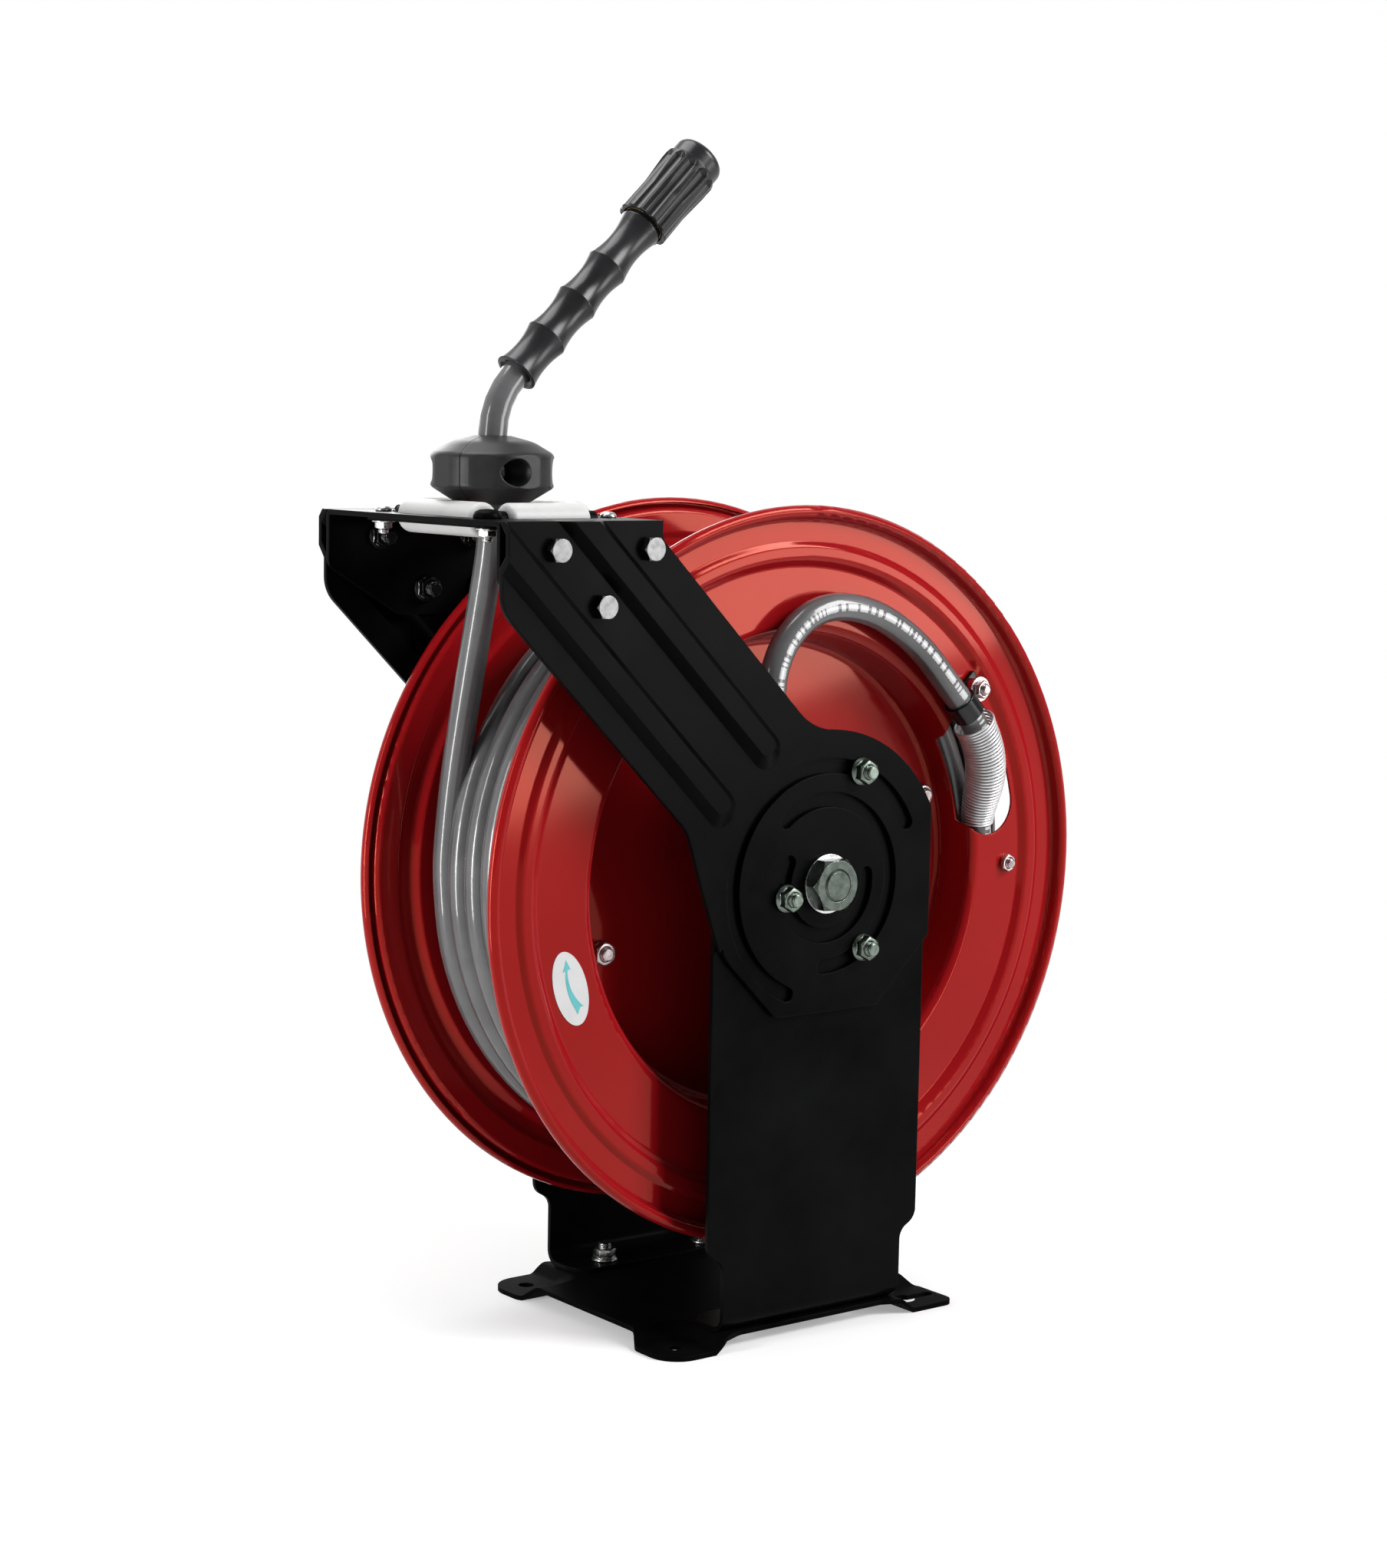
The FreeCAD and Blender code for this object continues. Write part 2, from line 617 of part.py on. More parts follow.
def guide_arm():
    arm = front_arm()
    add("front_guide_arm", arm)
    add("rear_guide_arm", mirror_y(arm))
    add("roller_bracket", roller_bracket())
    add("roller_frame", roller_frame())
    pins = [cyl(start, axis, PIN_R, length) for start, axis, length in pin_axes()]
    add("roller_pins", Part.makeCompound(pins))
    names = ("left_roller", "right_roller", "front_roller", "back_roller")
    for name, (start, axis, length) in zip(names, roller_places()):
        add(name, roller(start + axis * 0.5, axis, length - 1.0))
    bolts = []
    nuts = []
    for x, z in ARM_BOLTS:
        bolts.append(hex_bolt(vec(x, -ARM_OUT, AXLE_Z + z), Y_AXIS * -1.0, 13, 5.5, 4.0, 18))
        nuts.append(nut(vec(x, -ARM_IN + SHEET, AXLE_Z + z), Y_AXIS, 13, 7, 4.0, 8.5))
    add("arm_bolts", both_sides(Part.makeCompound(bolts)))
    add("arm_nuts", both_sides(Part.makeCompound(nuts)))
    screws = []
    screw_nuts = []
    top = BRACKET_TOP
    low = BRACKET_TOP - SHEET - KEEPER
    for x, y in post_places():
        head = turned([(0, 0), (4.9, 0), (4.7, 1.4, 1), (3.0, 3.2, 1), (0, 3.4)], vec(x, y, top), Z_AXIS)
        screws.append(head.fuse(cyl(vec(x, y, low - 7), Z_AXIS, 3.0, top - low + 7.5)))
        screw_nuts.append(nut(vec(x, y, low), Z_AXIS * -1.0, 10, 5.0, 3.0, 7.0))
    add("head_screws", Part.makeCompound(screws))
    add("head_nuts", Part.makeCompound(screw_nuts))


# Drum


def disc_path():
    """Half section of a disc as (radius, s, corner radius), rolled over at the rim."""
    return [(HUB_BOSS_R + 0.5, CUP_S, 0), (143.5, CUP_S, 5), (149.5, FLAT_S, 6), (188.5, FLAT_S, 3),
            (193.5, 65.5, 4), (200.0, 65.5, 4), (203.5, 63.4, 2), (217.6, 63.4, 3)]


def disc():
    pts = disc_path()
    curl_r = 3.0
    curl_mid = RIM_R - curl_r - DISC_SHEET * 0.5
    path = [vec(p[0], -p[1], 0) for p in pts] + [vec(curl_mid - curl_r, -RIM_S, 0)]
    edges = rounded_edges(path, [p[2] for p in pts] + [0], False)
    centre = vec(curl_mid, -RIM_S, 0)
    curl = []
    for angle in (180.0, 90.0, 0.0, -80.0):
        a = math.radians(angle)
        curl.append(centre + vec(curl_r * math.cos(a), -curl_r * math.sin(a), 0))
    half = [math.radians(v) for v in (135.0, 45.0, -40.0)]
    for start, end, a in zip(curl[:-1], curl[1:], half):
        crown = centre + vec(curl_r * math.cos(a), -curl_r * math.sin(a), 0)
        edges.append(Part.Arc(start, crown, end).toShape())
    line = Part.Wire(edges)
    band = line.makeOffset2D(DISC_SHEET * 0.5, 0, False, True)
    other = line.makeOffset2D(-DISC_SHEET * 0.5, 0, False, True)
    face = Part.Face(Part.Wire(close_band(band, other)))
    solid = face.revolve(vec(0, 0, 0), Y_AXIS, 360)
    solid.translate(vec(0, 0, AXLE_Z))
    return solid


def close_band(one, two):
    """Closed loop from two open wires that run side by side."""
    a = one.OrderedVertexes
    b = two.OrderedVertexes
    start_a, end_a = a[0].Point, a[-1].Point
    start_b, end_b = b[0].Point, b[-1].Point
    if (start_a - start_b).Length > (start_a - end_b).Length:
        start_b, end_b = end_b, start_b
    caps = [Part.LineSegment(start_a, start_b).toShape(), Part.LineSegment(end_a, end_b).toShape()]
    return Part.__sortEdges__(list(one.Edges) + caps + list(two.Edges))


def disc_holes(shape, slot):
    for k in range(4):
        x, z = polar(TIE_R, TIE_ANGLE + 90 * k)
        shape = shape.cut(rod_y(x, z, 4.2, -60, -20))
        x, z = polar(30.0, 45 + 90 * k)
        shape = shape.cut(rod_y(x, z, 3.1, -60, -20))
    if slot:
        shape = shape.cut(arc_slot(165.0, 5.0, 35.5, 20.0, -80, -50))
        for radius, angle in ((180.0, 37.3), (178.0, -1.6)):
            x, z = polar(radius, angle)
            shape = shape.cut(rod_y(x, z, 3.1, -80, -50))
    return shape


def drum():
    front = disc()
    add("front_disc", disc_holes(front, True))
    add("rear_disc", mirror_y(disc_holes(front, False)))
    # The band stops short of the discs' rounded corners and is notched where the hose enters.
    half = FLAT_S - 2.6
    core = ring(vec(0, -half, AXLE_Z), Y_AXIS, CORE_R, CORE_R - 1.5, 2 * half)
    core = core.cut(arc_slot(165.0, 2.0, 42.0, 24.0, -65, -42))
    add("drum_core", core)
    inner_winding()
    ties = []
    tie_nuts = []
    face = CUP_S + DISC_SHEET * 0.5
    for k in range(4):
        x, z = polar(TIE_R, TIE_ANGLE + 90 * k)
        ties.append(rod_y(x, z, 4.0, -face - 9.5, face + 9.5))
        for side in (-1, 1):
            tie_nuts.append(nut(vec(x, side * face, z), Y_AXIS * side, 13, 7.5, 4.0))
    add("tie_rods", Part.makeCompound(ties))
    add("tie_nuts", Part.makeCompound(tie_nuts))
    hubs()
    swivel()
    spring_unit()
    lead()


def inner_winding():
    """Plain ring for the first layer; its front turn starts where the lead hose ends."""
    half = FLAT_S - DISC_SHEET * 0.5 - 0.5
    outer = WIND_R - HOSE_R - 0.6
    step = -half + 2 * HOSE_R + 0.6
    pack = ring(vec(0, step, AXLE_Z), Y_AXIS, outer, CORE_R, half - step)
    turn = ring(vec(0, -half, AXLE_Z), Y_AXIS, outer, CORE_R, step + half)
    gap = [vec(0, -half - 1, AXLE_Z)]
    for angle in (LEAD_END_ANGLE - 0.1, -10.0, 20.0, 50.0):
        x, z = polar(260.0, angle)
        gap.append(vec(x, -half - 1, z))
    gap.append(gap[0])
    wedge = Part.Face(Part.makePolygon(gap)).extrude(vec(0, step + half + 1, 0))
    add("inner_winding", pack.fuse(turn.cut(wedge)).removeSplitter())


def hubs():
    inner = CUP_S - DISC_SHEET * 0.5
    front = turned([(BUSH_R, -60), (HUB_BOSS_R, -60), (HUB_BOSS_R, -inner), (HUB_FLANGE_R, -inner, 1),
                    (HUB_FLANGE_R, -inner + 5, 1), (HUB_BOSS_R + 4, -inner + 9), (BUSH_R, -inner + 9)],
                   vec(0, 0, AXLE_Z), Y_AXIS)
    rear = turned([(BUSH_R, 8), (HUB_BOSS_R, 8), (HUB_BOSS_R + 3, inner - 6, 2), (HUB_FLANGE_R, inner - 6, 1),
                   (HUB_FLANGE_R, inner, 1), (BUSH_R, inner)], vec(0, 0, AXLE_Z), Y_AXIS)
    for k in range(4):
        x, z = polar(30.0, 45 + 90 * k)
        front = front.cut(rod_y(x, z, 3.1, -60, -20))
        rear = rear.cut(rod_y(x, z, 3.1, 20, 60))
    add("front_hub", front)
    add("rear_hub", rear)
    fit = SHAFT_R + RUN_FIT
    bush = ring(vec(0, -59, AXLE_Z), Y_AXIS, BUSH_R, fit, 33)
    add("front_bush", bush)
    add("rear_bush", ring(vec(0, 8.5, AXLE_Z), Y_AXIS, BUSH_R, fit, 25))
    screws = []
    for k in range(4):
        x, z = polar(30.0, 45 + 90 * k)
        outer = CUP_S + DISC_SHEET * 0.5
        screws.append(hex_bolt(vec(x, -outer, z), Y_AXIS * -1.0, 10, 4, 3.0, 14))
        screws.append(hex_bolt(vec(x, outer + 1.5, z), Y_AXIS, 10, 4, 3.0, 15))
    add("hub_screws", Part.makeCompound(screws))


OUTLET_ANGLE = 106.7
OUTLET_Y = -74.0
LEAD_TURN_R = CORE_R + HOSE_R + 0.3
LEAD_TURN_Y = -52.0
LEAD_TURN_ANGLE = 3.0
LEAD_END_ANGLE = -40.0


def along_outlet(radius):
    x, z = polar(radius, OUTLET_ANGLE)
    return vec(x, OUTLET_Y, z)


def swivel():
    fit = SHAFT_R + RUN_FIT
    body = turned([(fit, -86), (19, -86, 1.5), (22, -82, 1.5), (22, -64), (19, -60.2, 1), (fit, -60.2)],
                  vec(0, 0, AXLE_Z), Y_AXIS)
    out = FreeCAD.Vector(along_outlet(1.0) - vec(0, OUTLET_Y, AXLE_Z)).normalize()
    body = body.fuse(cyl(along_outlet(14), out, 9.5, 12))
    body = body.cut(cyl(along_outlet(8), out, 4.0, 30))
    body = body.cut(rod_y(0, AXLE_Z, fit, -90, -50))
    body = body.cut(ring(vec(0, -77, AXLE_Z), Y_AXIS, 13.0, 9.0, 6.0))
    for y in (-83.5, -68.0):
        body = body.cut(ring(vec(0, y, AXLE_Z), Y_AXIS, 13.5, 9.0, 3.5))
    add("swivel_body", body)
    seals = []
    for y in (-83.4, -67.9):
        seals.append(ring(vec(0, y, AXLE_Z), Y_AXIS, 13.4, fit, 3.3))
    add("swivel_seals", Part.makeCompound(seals))
    fitting = hexagon(along_outlet(26), out, 17, 10).fuse(cyl(along_outlet(26), out, 7.5, 26))
    fitting = fitting.cut(cyl(along_outlet(20), out, 4.0, 40))
    add("outlet_fitting", fitting)
    ferrule = turned([(7.5, 0), (10.5, 0, 1), (11.0, 3), (11.0, 26, 1.5), (HOSE_R, 26),
                      (HOSE_R, 16), (7.5, 16)],
                     along_outlet(36), out)
    add("lead_ferrule", ferrule)


def lead_points():
    """Route of the lead hose over the front disc, as it is clipped on the real reel."""
    z = AXLE_Z
    start = along_outlet(52)
    x, turn_z = polar(LEAD_TURN_R, LEAD_TURN_ANGLE)
    return [start, along_outlet(107.5), vec(-23, -73, z + 141), vec(6, -72.2, z + 165),
            vec(48, -72.2, z + 163), vec(88, -72.2, z + 141), vec(117, -72.2, z + 111),
            vec(141, -72.2, z + 86), vec(156, -67, z + 58), vec(x - 1, LEAD_TURN_Y, turn_z + 18.5),
            vec(x, LEAD_TURN_Y, turn_z)]


LEAD_RADII = [0, 70, 42, 50, 80, 90, 120, 90, 60, 60, 0]


def lead():
    pts = lead_points()
    edges = rounded_edges(pts, LEAD_RADII, False)
    outside = Part.Wire(edges).Length
    # Behind the disc the hose lies on the drum as the start of its first turn.
    mx, mz = polar(LEAD_TURN_R, (LEAD_TURN_ANGLE + LEAD_END_ANGLE) * 0.5)
    ex, ez = polar(LEAD_TURN_R, LEAD_END_ANGLE)
    edges.append(Part.Arc(pts[-1], vec(mx, LEAD_TURN_Y, mz), vec(ex, LEAD_TURN_Y, ez)).toShape())
    direction = (pts[1] - pts[0]).normalize()
    add("lead_hose", tube(edges, HOSE_R, pts[0], direction))
    print("lead hose length", round(Part.Wire(edges).Length, 1))
    clip()
    spring_guard(edges, outside)


def clip():
    """P-clip: a band round the hose with a folded tail screwed to the disc."""
    z = AXLE_Z
    a, b = lead_points()[6:8]
    run = (b - a).normalize()
    middle = a + (b - a) * 0.5
    face = -(FLAT_S + DISC_SHEET * 0.5)
    band = ring(middle - run * 6.5, run, HOSE_R + 1.8, HOSE_R + 0.2, 13)
    out = vec(-run.z, 0, run.x)
    x, zz = polar(180.0, 37.3)
    reach = (vec(x, 0, zz) - middle).dot(out)
    tail = Part.makeBox(13, 3.2, reach + 3, vec(0, 0, 0))
    tail.Placement = FreeCAD.Placement(vec(0, 0, 0), FreeCAD.Rotation(run, Y_AXIS, out, "XYZ"))
    tail.translate(vec(middle.x, face - 3.2, middle.z) - run * 6.5 + out * 4)
    tail = tail.cut(cyl(middle - run * 10, run, HOSE_R + 0.2, 20))
    strap = band.fuse(tail).cut(rod_y(x, zz, 3.1, -80, -50))
    strap = strap.common(box(0, 300, -120, face, 0, 600))
    add("hose_clip", strap.removeSplitter())
    washer = ring(vec(x, face - 5.0, zz), Y_AXIS, 8.0, 3.0, 1.8)
    screw = hex_bolt(vec(x, face - 5.0, zz), Y_AXIS * -1.0, 10, 4.0, 3.0, 12)
    x2, z2 = polar(178.0, -1.6)
    anchor = hex_bolt(vec(x2, face, z2), Y_AXIS * -1.0, 10, 4.0, 3.0, 4)
    add("clip_screws", Part.makeCompound([washer, screw, anchor]))


GUARD_WIRE_R = 1.35
GUARD_R = 12.0
GUARD_PITCH = 4.3
GUARD_FIRST = 88.0
GUARD_LAST = 40.0


def spring_guard(edges, outside):
    """Coiled bend guard that follows the hose's last stretch before the slot."""
    route = Part.Wire(edges)
    first = outside - GUARD_FIRST
    last = outside - GUARD_LAST
    curls = int((last - first) / GUARD_PITCH)
    steps = curls * 4

    def frame(distance):
        travelled = 0.0
        for edge in route.OrderedEdges:
            if travelled + edge.Length >= distance - 1e-6:
                share = (distance - travelled) / edge.Length
                if edge.Orientation == "Reversed":
                    share = 1.0 - share
                t = edge.FirstParameter + (edge.LastParameter - edge.FirstParameter) * share
                tangent = edge.tangentAt(t)
                if edge.Orientation == "Reversed":
                    tangent = tangent * -1.0
                return edge.valueAt(t), tangent
            travelled += edge.Length
        return None

    def on_coil(k):
        point, tangent = frame(first + (last - first) * k / steps)
        side = tangent.cross(Y_AXIS).normalize()
        up = tangent.cross(side)
        a = math.radians(90.0 * k)
        return point + side * (GUARD_R * math.cos(a)) + up * (GUARD_R * math.sin(a))

    def heading(k):
        return (on_coil(k + 0.02) - on_coil(k - 0.02)).normalize()

    coil = []
    marks = [on_coil(k) for k in range(1, steps)]
    ways = [heading(k) for k in range(1, steps)]
    for i in range(len(marks) - 1):
        coil += biarc(marks[i], ways[i], marks[i + 1], ways[i + 1])
    wire = tube(coil, GUARD_WIRE_R, marks[0], ways[0])
    add("spring_guard", wire)
    samples = [on_coil(k * 0.2) for k in range(5, (steps - 1) * 5)]
    least = 1e9
    for i, a in enumerate(samples):
        for b in samples[i + 12:i + 32]:
            least = min(least, (a - b).Length)
    print("spring guard curls", (steps - 2) / 4.0, "least gap", round(least - 2 * GUARD_WIRE_R, 2))


def spring_unit():
    """Power spring in its case behind the rear disc, with the ratchet plate on the cover."""
    s0 = CUP_S + DISC_SHEET * 0.5
    wall = 1.5
    case = turned([(HUB_BOSS_R, s0), (CASE_R, s0, 3), (CASE_R, CASE_S), (CASE_R - wall, CASE_S),
                   (CASE_R - wall, s0 + wall, 2), (HUB_BOSS_R, s0 + wall)], vec(0, 0, AXLE_Z), Y_AXIS)
    for k in range(4):
        x, z = polar(30.0, 45 + 90 * k)
        case = case.cut(rod_y(x, z, 3.1, s0 - 1, s0 + 3))
    add("spring_case", case)
    cover = turned([(14, CASE_S), (CASE_R, CASE_S), (CASE_R, CASE_S + 2), (14, CASE_S + 2)],
                   vec(0, 0, AXLE_Z), Y_AXIS)
    add("spring_cover", cover)
    add("spring_arbor", ring(vec(0, 44, AXLE_Z), Y_AXIS, 16, SHAFT_R, 22))
    add("power_spring", spiral(22.0, 110.0, 7, 1.4, 45.0, 65.0))
    plate = rod_y(0, AXLE_Z, RATCHET_R - RATCHET_DEPTH, CASE_S + 2, CASE_S + 6)
    for k in range(RATCHET_TEETH):
        a = TOOTH_START + k * 360.0 / RATCHET_TEETH
        b = a + TOOTH_SPAN
        root = RATCHET_R - RATCHET_DEPTH - 2
        tooth = outline_xz([polar(root, a), polar(RATCHET_R, a) + (1.0,),
                            polar(RATCHET_R, b) + (1.0,), polar(root, b)], CASE_S + 2, CASE_S + 6)
        plate = plate.fuse(tooth)
    plate = plate.removeSplitter()
    plate = plate.cut(rod_y(0, AXLE_Z, 14, 60, 90))
    add("ratchet_plate", plate)
    rivets = []
    for k in range(6):
        x, z = polar(109.0, 60 * k)
        rivets.append(turned([(0, 0), (4.5, 0), (3.5, 1.8), (0, 2.4)], vec(x, CASE_S + 2, z), Y_AXIS))
    add("cover_rivets", Part.makeCompound(rivets))


def spiral(r0, r1, turns, thick, y0, y1):
    """Flat strip wound in half circles about two centres beside the axle."""
    step = (r1 - r0) / (2 * turns)
    lines = []
    for grow in (0.0, thick):
        edges = []
        for k in range(2 * turns):
            r = r0 + step * k + grow
            cx = step * 0.5 if k % 2 else -step * 0.5
            top = 1 if k % 2 == 0 else -1
            start = vec(cx + top * r, y0, AXLE_Z)
            end = vec(cx - top * r, y0, AXLE_Z)
            crown = vec(cx, y0, AXLE_Z + top * r)
            edges.append(Part.Arc(start, crown, end).toShape())
            last = end
        lines.append((edges, edges[0].valueAt(edges[0].FirstParameter), last))
    inner, outer = lines
    caps = [Part.LineSegment(inner[1], outer[1]).toShape(), Part.LineSegment(inner[2], outer[2]).toShape()]
    loop = Part.__sortEdges__(inner[0] + caps + outer[0])
    return Part.Face(Part.Wire(loop)).extrude(vec(0, y1 - y0, 0))


# Pawl on the rear pedestal, clear of the ratchet plate's teeth at rest


PAWL_X = 67.0
PAWL_Z = AXLE_Z + 33.0


def pawl():
    y0 = CASE_S + 2.3
    y1 = CASE_S + 5.7
    inner = PEDESTAL_Y - SHEET
    pin = rod_y(PAWL_X, PAWL_Z, 3.0, y0, inner)
    pin = pin.fuse(rod_y(PAWL_X, PAWL_Z, 6.0, y1 + 0.4, inner))
    add("pawl_pin", pin)
    body = outline_xz([(PAWL_X - 5, PAWL_Z + 7, 3), (PAWL_X - 8, PAWL_Z - 6, 2), (PAWL_X - 2, PAWL_Z - 40, 1),
                       (PAWL_X + 5, PAWL_Z - 38, 1), (PAWL_X + 8, PAWL_Z + 6, 4)], y0, y1)
    body = body.cut(rod_y(PAWL_X, PAWL_Z, 3.0 + RUN_FIT, y0 - 1, y1 + 1))
    add("ratchet_pawl", body)


# Hose: one tube wound on the drum and led up to the rollers


def wind_point(turns):
    """Centre of the outer layer, turns counted from where the hose leaves the drum."""
    x, z = polar(WIND_R, 180 + 360 * turns)
    return vec(x, EXIT_Y - WIND_PITCH * turns, z)


def wind_heading(turns):
    return (wind_point(turns - 0.001) - wind_point(turns + 0.001)).normalize()


def winding():
    quarters = int(WIND_TURNS * 4)
    marks = [WIND_TURNS - k / 4.0 for k in range(quarters + 1)]
    edges = []
    tail = wind_point(WIND_TURNS) - wind_heading(WIND_TURNS) * (2 * HOSE_R)
    edges.append(Part.LineSegment(tail, wind_point(WIND_TURNS)).toShape())
    for a, b in zip(marks[:-1], marks[1:]):
        edges += biarc(wind_point(a), wind_heading(a), wind_point(b), wind_heading(b))
    leave = wind_point(0)
    up = wind_heading(0)
    run = [leave, leave + up * 50, vec(STOP_X, 0, 474), vec(STOP_X, 0, STOP_LOW - 1.5)]
    edges += rounded_edges(run, [0, 250, 170, 0], False)
    hose = tube(edges, HOSE_R, tail, wind_heading(WIND_TURNS))
    add("wound_hose", hose)
    length = Part.Wire(edges).Length
    print("wound hose length", round(length, 1), "volume ratio",
          round(hose.Volume / (length * math.pi * HOSE_R ** 2), 4))
    samples = [wind_point(k / 120.0) for k in range(int(WIND_TURNS * 120))]
    least = 1e9
    for i in range(0, len(samples), 6):
        for other in samples[i + 60:i + 180]:
            least = min(least, (samples[i] - other).Length)
    print("winding turns", WIND_TURNS, "least gap", round(least - 2 * HOSE_R, 2))


# Free end: ball stop, bend restrictor and end cap


def end_axis(distance):
    """Point on the slanted end of the hose, measured from where the bend stops."""
    c = math.sqrt(0.5)
    return vec(STOP_X + (END_BEND_T + distance) * c, 0, END_BEND_Z + (END_BEND_T + distance) * c)


END_WAY = FreeCAD.Vector(1, 0, 1).normalize()


def hose_stop():
    """Ball stop in two halves, clamped by two cross bolts whose ends lie in deep pockets."""
    profile = [(HOSE_R, STOP_LOW), (20, STOP_LOW, 3), (STOP_R, STOP_LOW + 10, 4), (STOP_R, 531, 5),
               (24, 538, 22), (10.5, 541.5, 1), (HOSE_R, 541.5)]
    ball = turned(profile, vec(STOP_X, 0, 0), Z_AXIS)
    sides = []
    for k in range(8):
        a = math.radians(45 * k)
        r = (STOP_R - 0.8) / math.cos(math.radians(22.5))
        sides.append((STOP_X + r * math.cos(a), r * math.sin(a), 22))
    ball = ball.common(outline_xy(sides, STOP_LOW - 5, 560))
    screws = []
    for side in (-1, 1):
        seat = vec(STOP_X + side * STOP_BOLT_DX, 0, 521)
        ball = ball.cut(cyl(seat - Y_AXIS * 40, Y_AXIS, 2.6, 80))
        for way in (Y_AXIS, Y_AXIS * -1.0):
            ball = ball.cut(cyl(seat + way * STOP_GRIP, way, 8.0, 40))
        head = cyl(seat - Y_AXIS * (STOP_GRIP + 4.0), Y_AXIS, 4.5, 4.0)
        far = nut(seat + Y_AXIS * STOP_GRIP, Y_AXIS, 8, 4.0, 2.4)
        screws.append(fuse([head, cyl(seat - Y_AXIS * STOP_GRIP, Y_AXIS, 2.5, 2 * STOP_GRIP + 5), far]))
    front = ball.common(box(STOP_X - 50, STOP_X + 50, -50, -0.15, 490, 560))
    back = ball.common(box(STOP_X - 50, STOP_X + 50, 0.15, 50, 490, 560))
    for shape in [front, back] + screws:
        shape.rotate(vec(STOP_X, 0, 0), Z_AXIS, STOP_TURN)
    add("stop_front_half", front)
    add("stop_back_half", back)
    add("stop_screws", Part.makeCompound(screws))


def hose_end():
    hose_stop()
    bend_r = END_BEND_T / math.tan(math.radians(67.5))
    pts = [vec(STOP_X, 0, STOP_LOW - 1.0), vec(STOP_X, 0, END_BEND_Z), end_axis(112)]
    edges = rounded_edges(pts, [0, bend_r, 0], False)
    add("hose_stub", tube(edges, HOSE_R, pts[0], Z_AXIS))
    add("grip_sleeve", grip_sleeve())
    fitting = [(4.5, 112.5), (HOSE_R, 112.5), (HOSE_R, 129.0), (12.8, 129.0), (12.8, 133), (10.3, 133),
               (10.3, 160), (9.3, 161), (4.5, 161)]
    add("end_fitting", turned(fitting, end_axis(0), END_WAY))
    add("end_cap", end_cap())


def grip_sleeve():
    """Four waists between sharp rims, with a plain collar that runs under the cap."""
    bore = HOSE_R + RUN_FIT
    profile = [(bore, GRIP_RIMS[0] + 1.5), (11.0, GRIP_RIMS[0])]
    for a, b in zip(GRIP_RIMS[:-1], GRIP_RIMS[1:]):
        profile += [(GRIP_R, a + 0.3, 0.4), (GRIP_WAIST_R, (a + b) * 0.5, 55)]
    last = GRIP_RIMS[-1]
    profile += [(GRIP_R, last, 0.8), (12.7, last + 1.2), (12.7, CAP_LOW + 0.6), (bore, CAP_LOW + 0.6)]
    return turned(profile, end_axis(0), END_WAY)


def end_cap():
    """Screw cap: fluted skirt, slightly waisted, with a shoulder and a smooth nose."""
    cap = turned([(13.8, CAP_LOW), (16.6, CAP_LOW, 0.6), (16.3, 150, 30), (CAP_R, 169, 20),
                  (CAP_R, 176.5, 0.8),
                  (16.3, 177.3), (16.3, CAP_TOP, 5), (0, CAP_TOP), (0, 184), (10.7, 184), (10.7, 134),
                  (13.8, 134)], end_axis(0), END_WAY)
    side = END_WAY.cross(Y_AXIS)
    for k in range(CAP_FLUTES):
        a = math.radians(360.0 * k / CAP_FLUTES)
        out = side * math.cos(a) + Y_AXIS * math.sin(a)
        start = end_axis(CAP_LOW - 5) + out * (CAP_FLUTE_DEEP + CAP_FLUTE_R)
        cap = cap.cut(cyl(start, END_WAY, CAP_FLUTE_R, 173.0 - CAP_LOW + 5))
        tip = start + END_WAY * (173.0 - CAP_LOW + 5)
        cap = cap.cut(Part.makeCone(CAP_FLUTE_R, CAP_FLUTE_R - 2.2, 3.0, tip, END_WAY))
    return cap.removeSplitter()


def direction_label():
    """Thin oval label on the front disc's flat ring."""
    face = FLAT_S + DISC_SHEET * 0.5
    x, z = polar(172.0, 198.0)
    oval = Part.Ellipse(vec(0, 0, 0), 23.0, 11.5).toShape()
    label = Part.Face(Part.Wire(oval)).extrude(vec(0, 0, 0.3))
    label.rotate(vec(0, 0, 0), X_AXIS, 90)
    label.rotate(vec(0, 0, 0), Y_AXIS, 90 - 18)
    label.translate(vec(x, -face, z))
    add("direction_label", label)


stand()
guide_arm()
drum()
direction_label()
pawl()
winding()
hose_end()

os.makedirs("parts", exist_ok=True)
for name, shape in PARTS.items():
    if not shape.isValid():
        print("not valid:", name)
    shape.exportStep("parts/" + name + ".step")
print(len(PARTS), "parts")
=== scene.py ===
import json
import math

import bpy
import numpy as np
from mathutils import Matrix, Vector


